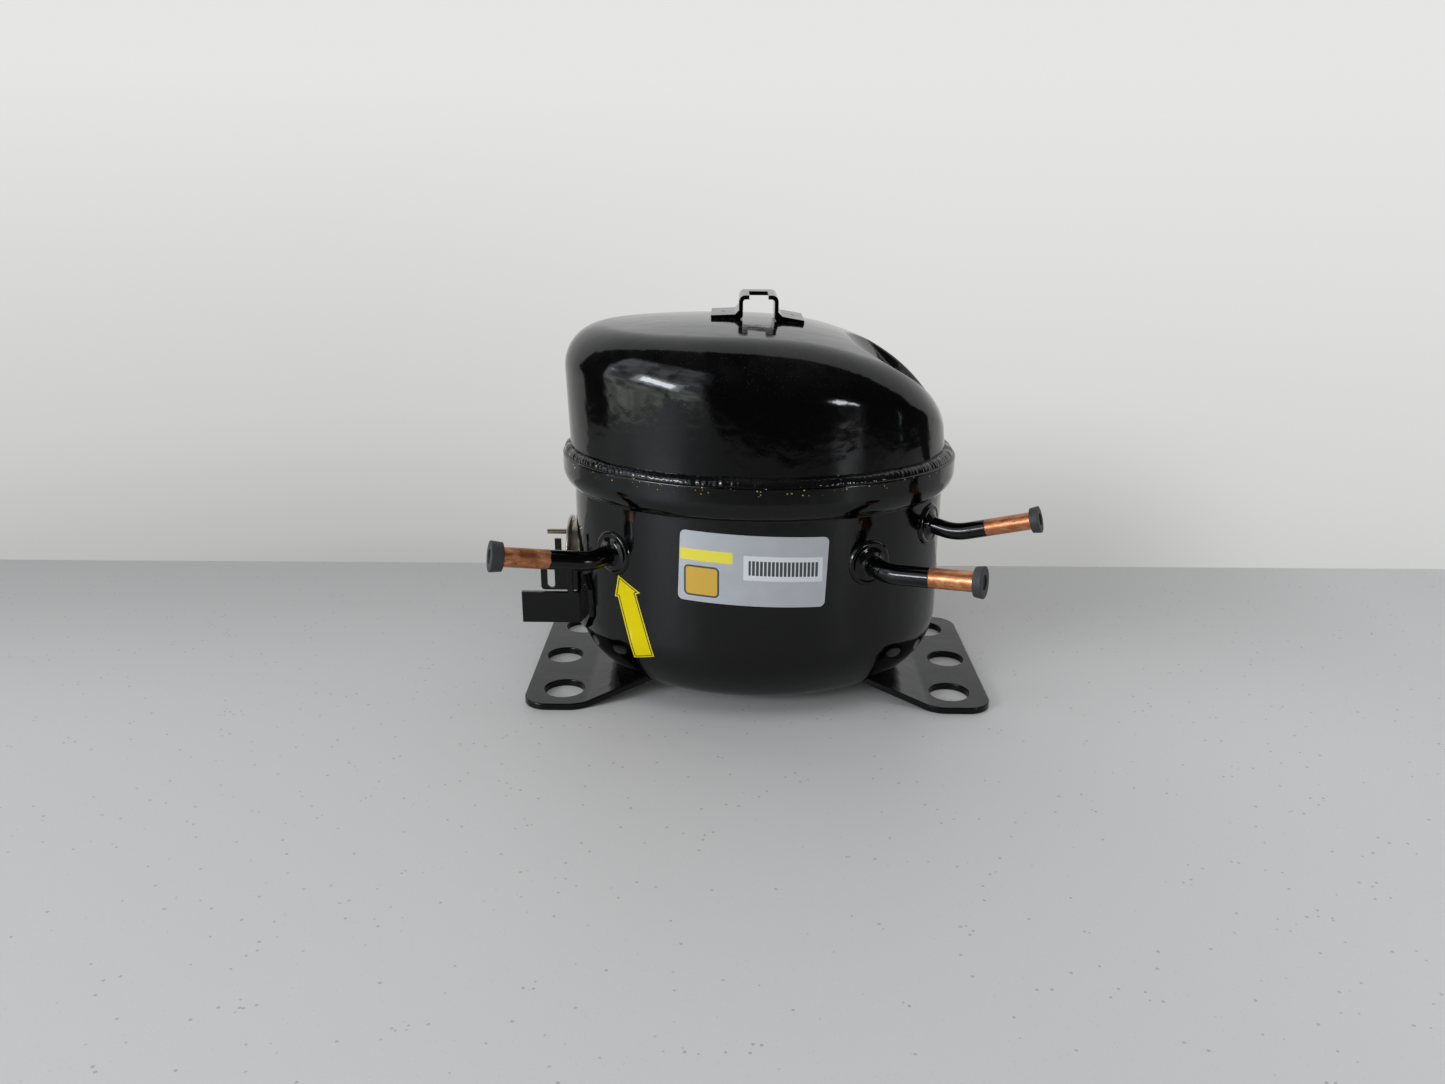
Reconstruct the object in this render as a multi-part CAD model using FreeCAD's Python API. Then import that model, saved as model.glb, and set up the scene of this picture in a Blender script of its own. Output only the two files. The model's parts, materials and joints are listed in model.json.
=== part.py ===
import FreeCAD, Part
import math
import os
from FreeCAD import Matrix, Vector

# Hermetic reciprocating compressor, slide-tube (Scotch yoke) type, motor below and pump above.
# Frame: origin at the centre of the four-hole foot pattern on the table plane,
# +Z up, +X to the right (discharge side), -Y to the front (label side). Millimetres.

# ---- feet ----------------------------------------------------------------------------------
PLATE_T = 3.0
HOLE_X = 82.5                # half of the 165 mm spacing
HOLE_Y = 35.0                # half of the 70 mm spacing
HOLE_R = 8.5
MID_HOLE_X = 87.0
MID_HOLE_R = 8.0
PLATE_X = 98.5               # outer edge of a foot
PLATE_Y = 50.5               # half depth of a foot
PLATE_CORNER_R = 10.0
PLATE_SHOULDER_X = 77.0      # where the foot starts to narrow
PLATE_ROOT_X = 44.0          # inner end of the ramp
PLATE_ROOT_Y = 37.0
RAMP_X = 72.4                # where the foot starts to rise, clear of the holes
RAMP_SLOPE = 0.30
RAMP_BEND_R = 7.0            # inside of the bend
PLATE_SHOULDER_R = 12.0
PLATE_EDGE_R = 0.55          # rounded, painted sheet edges

# ---- shell ---------------------------------------------------------------------------------
BOWL_A = 79.3                # half length of the oval
BOWL_B = 62.0                # half width of the oval
BOWL_T = 2.8
BOWL_FLOOR_Z = 4.5
BOWL_EDGE_R = 28.0
BELL_A = 84.0
BELL_START_Z = 87.0          # crease between the wall and the bell
BELL_FULL_Z = 95.0
BELL_TOP_Z = 101.5
MOUTH_A = 81.0
DOME_A = 80.3
DOME_B = 61.9
DOME_SKIRT_Z = 95.2
DOME_CROWN_Z = 170.0
DOME_CROWN_A = 77.6
DOME_CROWN_B = 59.2
DOME_LEAN = -5.5             # the crown's centre sits to the left of the skirt's
DOME_T = 2.6
DOME_EDGE_R = 17.5
DOME_CURVE = 900.0           # front-to-back crown: z falls by y*y over this
DOME_PROFILE = [
    (-110, 152.2), (-90, 153.3), (-70, 154.4), (-45, 155.5), (-20, 156.1), (0, 155.7), (20, 153.7),
    (36, 149.6), (50, 143.9), (60, 137.8), (67, 131.4), (73, 123.8), (78.5, 113.8), (84, 102.0), (90, 90.0),
]
SCOOP_LEFT = Vector(35.5, 0, 149.9)    # where the scoop pressed in the slope starts
SCOOP_RIGHT = Vector(73.0, 0, 121.5)   # and where its floor would leave the slope again
SCOOP_R = 95.0               # radius of the scoop's floor
SCOOP_X = -1.8               # centre of the oval that bounds the scoop
SCOOP_A = 72.5               # half length of that oval
SCOOP_B = 46.5               # and half width
SCOOP_CORNER_R = 3.0
SCOOP_LIP_R = 2.5
BEAD_TOP_Z = 104.4

# ---- tubes ---------------------------------------------------------------------------------
TUBE_WALL = 0.8
SERVICE_R = 3.97             # suction and process stubs
DISCHARGE_R = 3.5
CAP_R = 6.3                  # closed end, the wide one
SMALL_CAP_R = 5.4
CAP_LEN = 5.0
SHORT_CAP_LEN = 3.5
CAP_MOUTH_SHARE = 0.92       # mouth radius as a share of the closed end's
CAP_FLOOR_SHARE = 0.4        # how much of the length lies past the tube's end
CAP_SOFT_R = 0.35            # softening of the moulded edges
CAP_RECESS_SHARE = 0.47
CAP_RECESS_DEPTH = 0.7
CAP_GAP = 0.05
SUCTION_ROUTE = [Vector(-55.5, -36.0, 67.0), Vector(-68.0, -50.0, 66.0), Vector(-103.5, -62.4, 72.1)]
PROCESS_ROUTE = [Vector(39.9, -44.2, 68.0), Vector(48.9, -62.4, 66.4), Vector(82.3, -79.2, 69.5)]
DISCHARGE_ROUTE = [Vector(62.8, -23.8, 77.9), Vector(80.2, -35.5, 74.9), Vector(109.6, -47.5, 84.4)]
SERVICE_BEND_R = 15.0
DISCHARGE_BEND_R = 22.0

# ---- electrical side -----------------------------------------------------------------------
TERMINAL_Y = 1.5
TERMINAL_Z = 53.8
TERMINAL_R = 15.4
TERMINAL_RIM_R = 0.8
PIN_R = 1.15
PIN_CIRCLE_R = 8.2
PIN_OUT_X = -93.0
PIN_IN_X = -70.0
EAR_Y = -18.0                # front face of the relay bracket's ear
EAR_T = 1.6
EAR_EDGE_R = 0.3
BEAD_R = 2.5                 # glass insulator round a pin

# ---- stickers ------------------------------------------------------------------------------
STICKER_T = 0.25
LABEL_CORNER_R = 2.2

# ---- top bracket ---------------------------------------------------------------------------
STRAP_T = 1.7
STRAP_FRONT_Y = 0.0
STRAP_DEPTH = 24.5
STRAP_LEFT_X = -20.8
STRAP_RIGHT_X = 18.2
STRAP_LOOP_L = -7.4          # inside faces of the loop
STRAP_LOOP_R = 5.7
STRAP_TOP_Z = 165.8
STRAP_NOTCH_W = 7.9
STRAP_NOTCH_D = 16.0
STRAP_EDGE_R = 0.35

# ---- motor ---------------------------------------------------------------------------------
STACK_X = 48.0
STACK_Y = 42.0
STACK_LOW = 34.0
STACK_HIGH = 74.0
STATOR_BORE_R = 28.0
ROTOR_R = 27.65
WINDING_OUT_R = 40.0
WINDING_IN_R = 29.0
WINDING_H = 15.0
BOLT_X = 39.5
BOLT_Y = 33.5
SLOTS = 24

# ---- pump ----------------------------------------------------------------------------------
CRANK_R = 7.2                # half of the stroke
SHAFT_R = 8.0
SHAFT_BORE_R = 8.03
CRANK_PIN_R = 6.5
BORE_R = 12.0
PISTON_R = 11.98
CYL_Z = 119.0
BLOCK_LOW = 92.0
BLOCK_HIGH = 100.0
HUB_R = 13.0
HUB_LOW = 58.0
WEB_LOW = 100.9
WEB_HIGH = 106.6
HEAD_FACE_X = -48.5          # end face of the cylinder
BORE_START_X = -20.0
CROWN_X = -47.9              # piston crown at rest, which is top dead centre
SLIDE_OUT_R = 11.2
SLIDE_IN_R = 9.0
SLIDER_R = 8.97
SLIDE_HALF = 20.5
SLIDER_HALF = 10.5
PLUG_R = 1.5
REST_PIN_X = -CRANK_R

X = Vector(1, 0, 0)
Y = Vector(0, 1, 0)
Z = Vector(0, 0, 1)


# ---- small builders ------------------------------------------------------------------------
def save(name, shape):
    shape.exportStep("parts/" + name + ".step")


def save_group(name, shapes):
    save(name, Part.makeCompound(shapes))


def rod(r, base, axis, length):
    return Part.makeCylinder(r, length, base, axis)


def pipe(r_out, r_in, base, axis, length):
    return rod(r_out, base, axis, length).cut(rod(r_in, base, axis, length))


def block(x0, x1, y0, y1, z0, z1):
    return Part.makeBox(x1 - x0, y1 - y0, z1 - z0, Vector(x0, y0, z0))


def joined(shapes):
    return shapes[0].fuse(shapes[1:]).removeSplitter()


def flat_sheet(points, z, height):
    """A closed plan outline, raised by height."""
    wire = Part.makePolygon([Vector(x, y, z) for x, y in points + points[:1]])
    return Part.Face(wire).extrude(Vector(0, 0, height))


def rounded_block(x0, x1, y0, y1, z0, z1, r):
    body = block(x0, x1, y0, y1, z0, z1)
    upright = [e for e in body.Edges if abs(e.tangentAt(e.FirstParameter).z) > 0.99]
    return body.makeFillet(r, upright)


def squeezed(shape, factor):
    """Turns a round body into an oval one."""
    m = Matrix()
    m.scale(1, factor, 1)
    return shape.transformGeometry(m)


def turned(profile):
    """Solid of revolution about Z from (radius, z) points; a four-number entry arrives by an arc
    through the point that its last two numbers give."""
    edges = []
    here = Vector(profile[0][0], 0, profile[0][1])
    for item in profile[1:] + profile[:1]:
        there = Vector(item[0], 0, item[1])
        if len(item) == 4:
            edges.append(Part.Arc(here, Vector(item[2], 0, item[3]), there).toShape())
        else:
            edges.append(Part.LineSegment(here, there).toShape())
        here = there
    face = Part.Face(Part.Wire(edges))
    return face.revolve(Vector(0, 0, 0), Z, 360)


def oval(a, b, z, x=0.0):
    return Part.Wire([Part.Ellipse(Vector(x, 0, z), a, b).toShape()])


def rounded_path(points, bend_r):
    """Straight runs joined by tangent arcs of one radius."""
    edges = []
    start = points[0]
    for before, corner, after in zip(points, points[1:], points[2:]):
        u = (before - corner).normalize()
        v = (after - corner).normalize()
        half = u.getAngle(v) / 2.0
        run = bend_r / math.tan(half)
        middle = (u + v).normalize() * (bend_r / math.sin(half) - bend_r)
        first = corner + u * run
        last = corner + v * run
        edges.append(Part.LineSegment(start, first).toShape())
        edges.append(Part.Arc(first, corner + middle, last).toShape())
        start = last
    edges.append(Part.LineSegment(start, points[-1]).toShape())
    return Part.Wire(edges)


def swept(path, r):
    start = path.Edges[0].valueAt(path.Edges[0].FirstParameter)
    direction = path.Edges[0].tangentAt(path.Edges[0].FirstParameter)
    ring = Part.Wire([Part.makeCircle(r, start, direction)])
    return path.makePipeShell([ring], True, True)


def corner_posts():
    return [(sx * BOLT_X, sy * BOLT_Y) for sx in (-1, 1) for sy in (-1, 1)]


# ---- shell ---------------------------------------------------------------------------------
def bowl_profile(inset):
    """Half section of the bowl and its bell mouth, inset by the wall."""
    a = BOWL_A - inset
    edge_r = BOWL_EDGE_R - inset
    floor = BOWL_FLOOR_Z + inset
    flat = a - edge_r
    mid = edge_r * (1 - math.sqrt(0.5))
    bell = BELL_A if inset == 0 else MOUTH_A
    top = BELL_TOP_Z if inset == 0 else BELL_TOP_Z + 1.0
    start = BELL_START_Z + inset / 2
    full = BELL_FULL_Z + inset / 2
    shoulder_r = ((bell - a) ** 2 + (full - start) ** 2) / (2 * (bell - a))
    half_turn = math.asin((full - start) / shoulder_r) / 2
    shoulder = (bell - shoulder_r * (1 - math.cos(half_turn)), full - shoulder_r * math.sin(half_turn))
    return [
        (0, floor), (flat, floor),
        (a, floor + edge_r, a - mid, floor + mid),
        (a, start),
        (bell, full) + shoulder,
        (bell, top), (0, top),
    ]


def bowl_outside():
    return squeezed(turned(bowl_profile(0)), BOWL_B / BOWL_A)


def bowl_inside():
    return squeezed(turned(bowl_profile(BOWL_T)), (BOWL_B - BOWL_T) / (BOWL_A - BOWL_T))


def terminal_hole():
    return rod(TERMINAL_R - 2.4, Vector(-90, TERMINAL_Y, TERMINAL_Z), X, 30)


def lower_shell(outside, inside):
    shell = outside.cut(inside)
    shell = shell.cut(terminal_hole())
    for route, r in ((SUCTION_ROUTE, SERVICE_R), (PROCESS_ROUTE, SERVICE_R), (DISCHARGE_ROUTE, DISCHARGE_R)):
        shell = shell.cut(rod(r, route[0], route[1] - route[0], 22))
    return shell


def dome_top(inset):
    """Everything under the crown surface."""
    rows = []
    for y in (-75, -50, -25, 0, 25, 50, 75):
        rows.append([Vector(x, y, z - y * y / DOME_CURVE - inset) for x, z in DOME_PROFILE])
    skin = Part.BSplineSurface()
    skin.interpolate(rows)
    return skin.toShape().extrude(Vector(0, 0, -140))


def dome_body(inset):
    low = DOME_SKIRT_Z - inset
    sides = Part.makeLoft([
        oval(DOME_A - inset, DOME_B - inset, low),
        oval(DOME_CROWN_A - inset, DOME_CROWN_B - inset, DOME_CROWN_Z, DOME_LEAN),
    ], True, True)
    body = sides.common(dome_top(inset)).Solids[0]
    rim = [e for e in body.Edges if e.Length > 300 and e.BoundBox.ZMax > low + 5]
    body = body.makeFillet(DOME_EDGE_R - inset, rim).Solids[0]
    return body.cut(scoop_tool(inset))


def scoop_tool(grow):
    """Ball that presses the scoop, bounded by an oval column that follows the dome's rim."""
    middle = (SCOOP_LEFT + SCOOP_RIGHT) * 0.5
    half = (SCOOP_RIGHT - SCOOP_LEFT).Length / 2
    upward = (SCOOP_RIGHT - SCOOP_LEFT).cross(Y).normalize()
    centre = middle + upward * math.sqrt(SCOOP_R ** 2 - half ** 2)
    ball = Part.makeSphere(SCOOP_R + grow, centre)
    ball.rotate(centre, Z, 180)
    low, high = 110.0, 180.0
    column = Part.Face(oval(SCOOP_A + grow, SCOOP_B + grow, low, SCOOP_X)).extrude(Vector(0, 0, high - low))
    column.rotate(Vector(SCOOP_X, 0, 0), Z, 180)
    tool = ball.common(column).Solids[0]
    corner = [e for e in tool.Edges if low + 1 < e.BoundBox.ZMin < high - 10 and e.Length > 60]
    return tool.makeFillet(SCOOP_CORNER_R + grow, corner).Solids[0]


def scoop_lip(body):
    """Rounds the edge where the scoop meets the dome's outside."""
    lip = []
    for edge in body.Edges:
        areas = sorted(face.Area for face in body.Faces if any(e.isSame(edge) for e in face.Edges))
        if len(areas) == 2 and areas[1] > 3500 > 2500 > areas[0] and edge.BoundBox.XMin > SCOOP_LEFT.x - 10:
            lip.append(edge)
    return body.makeFillet(SCOOP_LIP_R, lip)


def upper_shell():
    return scoop_lip(dome_body(0)).cut(dome_body(DOME_T))


def seam_weld(dome):
    """Bead that bridges the bell's rim and the dome's wall."""
    a = BELL_A - 0.7
    root = DOME_A - 5.0
    toe = DOME_A - 2.0           # inside the dome's wall all round, so the bead ends on the wall
    bead = turned([
        (root, BELL_TOP_Z), (a, BELL_TOP_Z), (toe, BEAD_TOP_Z, a - 1.0, BELL_TOP_Z + 1.9), (root, BEAD_TOP_Z),
    ])
    ring = squeezed(bead, BOWL_B / BOWL_A).cut(dome)
    return max(ring.Solids, key=lambda s: s.Volume)


def bent_sheet(side):
    """The foot's bent section, wider than the foot."""
    rise = (RAMP_X - PLATE_ROOT_X) * RAMP_SLOPE
    section = [
        (PLATE_X + 1, 0), (PLATE_X + 1, PLATE_T), (RAMP_X, PLATE_T), (PLATE_ROOT_X - 1, PLATE_T + rise),
        (PLATE_ROOT_X - 1, rise), (RAMP_X, 0),
    ]
    profile = Part.makePolygon([Vector(side * x, -60, z) for x, z in section + section[:1]])
    sheet = Part.Face(profile).extrude(Vector(0, 120, 0))
    for z, bend_r in ((PLATE_T, RAMP_BEND_R), (0, RAMP_BEND_R + PLATE_T)):
        bend = [e for e in sheet.Edges if e.Length > 100 and (e.CenterOfMass - Vector(side * RAMP_X, 0, z)).Length < 0.01]
        sheet = sheet.makeFillet(bend_r, bend)
    return sheet


def base_plate(side, bowl):
    """One stamped foot, flat under the holes and ramped up to the bowl."""
    def at(x):
        return side * x

    outline = [
        (at(PLATE_ROOT_X), -PLATE_ROOT_Y), (at(PLATE_SHOULDER_X), -PLATE_Y), (at(PLATE_X), -PLATE_Y),
        (at(PLATE_X), PLATE_Y), (at(PLATE_SHOULDER_X), PLATE_Y), (at(PLATE_ROOT_X), PLATE_ROOT_Y),
    ]
    plan = flat_sheet(outline, -1, 40)
    for corner_x, corner_r in ((PLATE_X, PLATE_CORNER_R), (PLATE_SHOULDER_X, PLATE_SHOULDER_R)):
        upright = [e for e in plan.Edges if abs(abs(e.CenterOfMass.x) - corner_x) < 0.1
                   and abs(e.tangentAt(e.FirstParameter).z) > 0.99]
        plan = plan.makeFillet(corner_r, upright)
    plate = bent_sheet(side).common(plan)
    for x, y, r in ((HOLE_X, -HOLE_Y, HOLE_R), (MID_HOLE_X, 0, MID_HOLE_R), (HOLE_X, HOLE_Y, HOLE_R)):
        plate = plate.cut(rod(r, Vector(at(x), y, -1), Z, 10))
    rims = []
    for edge in plate.Edges:
        box = edge.BoundBox
        across_sheet = abs(edge.tangentAt((edge.FirstParameter + edge.LastParameter) / 2).z) > 0.9
        bend_line = box.XLength < 0.01 and box.YLength > 60 and abs(edge.CenterOfMass.x) < PLATE_X - 1
        at_root = abs(abs(edge.CenterOfMass.x) - PLATE_ROOT_X) < 1.5
        hole_foot = box.ZMax < 0.01 and edge.Closed
        if not (across_sheet or bend_line or at_root or hole_foot):
            rims.append(edge)
    plate = plate.makeFillet(PLATE_EDGE_R, rims).cut(bowl)
    return max(plate.Solids, key=lambda s: s.Volume)


# ---- tubes, collars and caps ---------------------------------------------------------------
def tube(route, r, bend_r):
    path = rounded_path(route, bend_r)
    return swept(path, r).cut(swept(path, r - TUBE_WALL))


def collar(route, r, bowl, outer_r):
    """Ringed weld boss, a stepped disc that follows the wall."""
    direction = (route[1] - route[0]).normalize()
    steps = []
    for step_r, reach in ((outer_r, 0.9), (outer_r * 0.74, 2.0)):
        steps.append((rod(step_r, route[0], direction, 30), reach))
    rings = []
    for cylinder, reach in steps:
        grown = bowl.copy()
        grown.translate(direction * reach)
        rings.append(cylinder.common(grown))
    body = joined(rings).cut(bowl).cut(rod(r, route[0] - direction * 5, direction, 50))
    return max(body.Solids, key=lambda s: s.Volume)


def cap(route, r, cap_r, length):
    """Tapered rubber stopper that slips over a tube's end, wider at the closed end."""
    axis = (route[-1] - route[-2]).normalize()
    inside = length * (1 - CAP_FLOOR_SHARE)
    back = route[-1] - axis * inside
    body = Part.makeCone(cap_r * CAP_MOUTH_SHARE, cap_r, length, back, axis)
    body = body.makeFillet(CAP_SOFT_R, [e for e in body.Edges if e.Curve.TypeId == "Part::GeomCircle"])
    body = body.cut(rod(r + CAP_GAP, back - axis, axis, inside + 1))
    return body.cut(rod(cap_r * CAP_RECESS_SHARE, back + axis * (length - CAP_RECESS_DEPTH), axis, 2))


# ---- electrical side -----------------------------------------------------------------------
def terminal_cup():
    """Turned steel fence, open outward, with a web that holds the three pins."""
    centre = Vector(-74.0, TERMINAL_Y, TERMINAL_Z)
    cup = pipe(TERMINAL_R - 2.42, TERMINAL_R - 4.0, centre, -X, 7.5)
    rim = pipe(TERMINAL_R, TERMINAL_R - 4.0, Vector(-81.5, TERMINAL_Y, TERMINAL_Z), -X, 1.7)
    web = rod(TERMINAL_R - 4.0, Vector(-75.0, TERMINAL_Y, TERMINAL_Z), -X, 2.0)
    cup = joined([cup, rim, web])
    rim_edges = [e for e in cup.Edges if e.BoundBox.XMin < -81.4 and e.BoundBox.XLength < 0.01
                 and e.BoundBox.YLength > 2 * TERMINAL_R - 1]
    cup = cup.makeFillet(TERMINAL_RIM_R, rim_edges)
    for centre_y, centre_z in pin_places():
        cup = cup.cut(rod(BEAD_R, Vector(-60, centre_y, centre_z), -X, 40))
    return cup


def pin_places():
    places = []
    for angle in (90, 210, 330):
        turn = math.radians(angle)
        y = TERMINAL_Y + PIN_CIRCLE_R * math.cos(turn)
        z = TERMINAL_Z + PIN_CIRCLE_R * math.sin(turn)
        places.append((y, z))
    return places


def terminal_pins():
    return [rod(PIN_R, Vector(PIN_OUT_X, y, z), X, PIN_IN_X - PIN_OUT_X) for y, z in pin_places()]


def terminal_beads():
    return [pipe(BEAD_R, PIN_R, Vector(-75.0, y, z), -X, 3.2) for y, z in pin_places()]


def terminal_plug():
    """Insulating block pushed on the pins from inside."""
    body = rounded_block(-73.4, -62.0, TERMINAL_Y - 11, TERMINAL_Y + 11, TERMINAL_Z - 8, TERMINAL_Z + 12, 1.5)
    for y, z in pin_places():
        body = body.cut(rod(PIN_R, Vector(-80, y, z), X, 11))
    return body


def relay_bracket(bowl):
    """Welded sheet bracket for the relay cover: a wall leaf with bevelled corners, a slotted ear and a tab."""
    out = Vector(-0.915, -0.403, 0)
    along = Vector(0.403, -0.915, 0)
    foot = Vector(-75.0, -20.2, 0)
    leaf_shape = [(-8.0, 27.0), (5.0, 27.0), (10.5, 34.0), (10.5, 46.0), (6.0, 52.0), (-8.0, 52.0)]
    points = [foot + along * u - out * 8 + Vector(0, 0, z) for u, z in leaf_shape]
    punch = Part.Face(Part.makePolygon(points + points[:1])).extrude(out * 16)
    grown = bowl.copy()
    grown.translate(out * 1.9)
    leaf = punch.common(grown)
    ear = block(-93.6, -74.0, EAR_Y, EAR_Y + EAR_T, 41.6, 57.0)
    tongue = block(-87.0, -84.2, EAR_Y, EAR_Y + EAR_T, 56.5, 64.8)
    tab = block(-102.0, -74.0, EAR_Y - 1.6, EAR_Y + 0.6, 27.0, 41.0)
    fold = block(-82.0, -79.8, EAR_Y - 1.6, EAR_Y + 3.6, 27.0, 52.0)
    body = joined([leaf, ear, tongue, tab, fold])
    slot = block(-90.8, -87.6, EAR_Y - 1, EAR_Y + 3, 44.2, 53.0)
    slot = slot.fuse([rod(1.6, Vector(-89.2, EAR_Y - 1, z), Y, 4) for z in (44.2, 53.0)])
    body = body.cut(slot)
    corner = [e for e in body.Edges if abs(e.CenterOfMass.x + 93.6) < 0.01 and abs(e.tangentAt(0).y) > 0.99]
    body = body.makeFillet(1.6, corner).cut(bowl)
    body = max(body.Solids, key=lambda s: s.Volume)
    faces_y = (EAR_Y, EAR_Y + EAR_T, EAR_Y - 1.6)
    rims = [e for e in body.Edges if e.BoundBox.YLength < 0.01 and e.CenterOfMass.x < -83
            and min(abs(e.CenterOfMass.y - y) for y in faces_y) < 0.01]
    return body.makeFillet(EAR_EDGE_R, rims)


# ---- stickers ------------------------------------------------------------------------------
def sticker(outline, bowl, corner_r):
    """A thin patch of the wall's own curve, cut to a front-view outline of (x, z) points."""
    wire = Part.makePolygon([Vector(x, -80, z) for x, z in outline + outline[:1]])
    punch = Part.Face(wire).extrude(Vector(0, 60, 0))
    if corner_r:
        punch = punch.makeFillet(corner_r, [e for e in punch.Edges if abs(e.tangentAt(e.FirstParameter).y) > 0.99])
    grown = bowl.copy()
    grown.translate(Vector(0, -STICKER_T, 0))
    patch = punch.common(grown).cut(bowl)
    return max(patch.Solids, key=lambda s: s.Volume)


def rating_label(bowl):
    corners = [(-31.4, 82.4), (26.8, 80.2), (25.7, 51.2), (-32.5, 53.3)]
    return sticker(corners, bowl, LABEL_CORNER_R)


def arrow_label(bowl):
    outline = [
        (-57.5, 57.8), (-48.1, 52.5), (-49.9, 51.6), (-42.6, 25.6), (-51.3, 22.4), (-57.8, 48.2), (-59.2, 48.0),
    ]
    return sticker(outline, bowl, 0)


# ---- top bracket ---------------------------------------------------------------------------
def top_bracket(dome):
    """Hat-shaped strap; its feet follow the crown and its loop stands clear."""
    t = STRAP_T
    left_z, left_root = 155.0, 155.4
    right_root, right_z = 154.6, 153.0
    under = [
        (STRAP_LEFT_X, left_z), (STRAP_LOOP_L - t, left_root), (STRAP_LOOP_L, left_root + t),
        (STRAP_LOOP_L, STRAP_TOP_Z - t), (STRAP_LOOP_R, STRAP_TOP_Z - t), (STRAP_LOOP_R, right_root + t),
        (STRAP_LOOP_R + t, right_root), (STRAP_RIGHT_X, right_z),
    ]
    rise = t + 0.9
    over = [
        (STRAP_RIGHT_X, right_z + rise), (STRAP_LOOP_R + 2 * t, right_root + rise),
        (STRAP_LOOP_R + t, right_root + rise + t), (STRAP_LOOP_R + t, STRAP_TOP_Z),
        (STRAP_LOOP_L - t, STRAP_TOP_Z), (STRAP_LOOP_L - t, left_root + rise + t),
        (STRAP_LOOP_L - 2 * t, left_root + rise), (STRAP_LEFT_X, left_z + rise),
    ]
    wire = Part.makePolygon([Vector(x, STRAP_FRONT_Y, z) for x, z in under + over + under[:1]])
    strap = Part.Face(wire).extrude(Vector(0, STRAP_DEPTH, 0))
    outer_bends = [e for e in strap.Edges if abs(e.CenterOfMass.z - STRAP_TOP_Z) < 0.05 and e.Length > 24]
    strap = strap.makeFillet(2.6, outer_bends)
    inner_bends = [e for e in strap.Edges if abs(e.CenterOfMass.z - STRAP_TOP_Z + t) < 0.05 and e.Length > 24]
    strap = strap.makeFillet(1.2, inner_bends)
    middle = (STRAP_LOOP_L + STRAP_LOOP_R) / 2
    half = STRAP_NOTCH_W / 2
    notch = block(middle - half, middle + half, STRAP_FRONT_Y - 1, STRAP_FRONT_Y + STRAP_NOTCH_D, 162, 170)
    strap = strap.cut(notch)
    for x in (STRAP_LEFT_X + 5.2, STRAP_RIGHT_X - 4.4):
        strap = strap.cut(rod(0.8, Vector(x, STRAP_FRONT_Y + STRAP_DEPTH / 2, 150), Z, 20))
    strap = strap.cut(dome)
    rims = [e for e in strap.Edges if e.BoundBox.YLength < 0.01 and e.CenterOfMass.z > 156.5]
    return strap.makeFillet(STRAP_EDGE_R, rims)


# ---- suspension ----------------------------------------------------------------------------
def spring_seats_lower(inside):
    seats = []
    for x, y in corner_posts():
        post = joined([rod(7.5, Vector(x, y, 5), Z, 8.0), rod(4.8, Vector(x, y, 12), Z, 6.0)])
        seats.append(post.common(inside))
    return seats


def spring_seats_upper():
    seats = []
    for x, y in corner_posts():
        seats.append(rod(7.5, Vector(x, y, 30.2), Z, 3.8).fuse(rod(4.8, Vector(x, y, 25.0), Z, 5.3)))
    return [seat.cut(rod(2.0, Vector(p[0], p[1], 20), Z, 20)).removeSplitter()
            for seat, p in zip(seats, corner_posts())]


def suspension_springs():
    springs = []
    for x, y in corner_posts():
        helix = Part.makeHelix(3.2, 15.2, 5.9)
        path = Part.Wire(helix.Edges)
        start = path.Edges[0].valueAt(path.Edges[0].FirstParameter)
        ring = Part.Wire([Part.makeCircle(0.8, start, path.Edges[0].tangentAt(path.Edges[0].FirstParameter))])
        wire = path.makePipeShell([ring], True, True)
        wire.translate(Vector(x, y, 14.0))
        springs.append(wire)
    return springs


# ---- motor ---------------------------------------------------------------------------------
def stator_core():
    height = STACK_HIGH - STACK_LOW
    core = rounded_block(-STACK_X, STACK_X, -STACK_Y, STACK_Y, STACK_LOW, STACK_HIGH, 8)
    core = core.cut(rod(STATOR_BORE_R, Vector(0, 0, STACK_LOW), Z, height))
    slot = block(STATOR_BORE_R - 1, WINDING_OUT_R - 1.5, -1.6, 1.6, STACK_LOW - 1, STACK_HIGH + 1)
    slots = []
    for k in range(SLOTS):
        one = slot.copy()
        one.rotate(Vector(0, 0, 0), Z, 360.0 / SLOTS * (k + 0.5))
        slots.append(one)
    core = core.cut(slots)
    return core.cut([rod(2.6, Vector(x, y, 0), Z, 100) for x, y in corner_posts()])


def winding(low, high):
    """Bundle of end turns, a rounded ring."""
    ring = pipe(WINDING_OUT_R - 1, WINDING_IN_R + 0.5, Vector(0, 0, low), Z, high - low)
    return ring.makeFillet(3.5, [e for e in ring.Edges if e.Curve.TypeId == "Part::GeomCircle"])


def stator_bolts():
    bolts = []
    for x, y in corner_posts():
        bolts.append(rod(2.0, Vector(x, y, 26.0), Z, 68.0))
    return bolts


def rotor_core():
    core = rod(ROTOR_R, Vector(0, 0, STACK_LOW), Z, STACK_HIGH - STACK_LOW)
    core = core.cut(rod(SHAFT_R, Vector(0, 0, 0), Z, 100))
    return core.cut(rod(HUB_R + 1.2, Vector(0, 0, HUB_LOW - 1.5), Z, 60))


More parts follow.
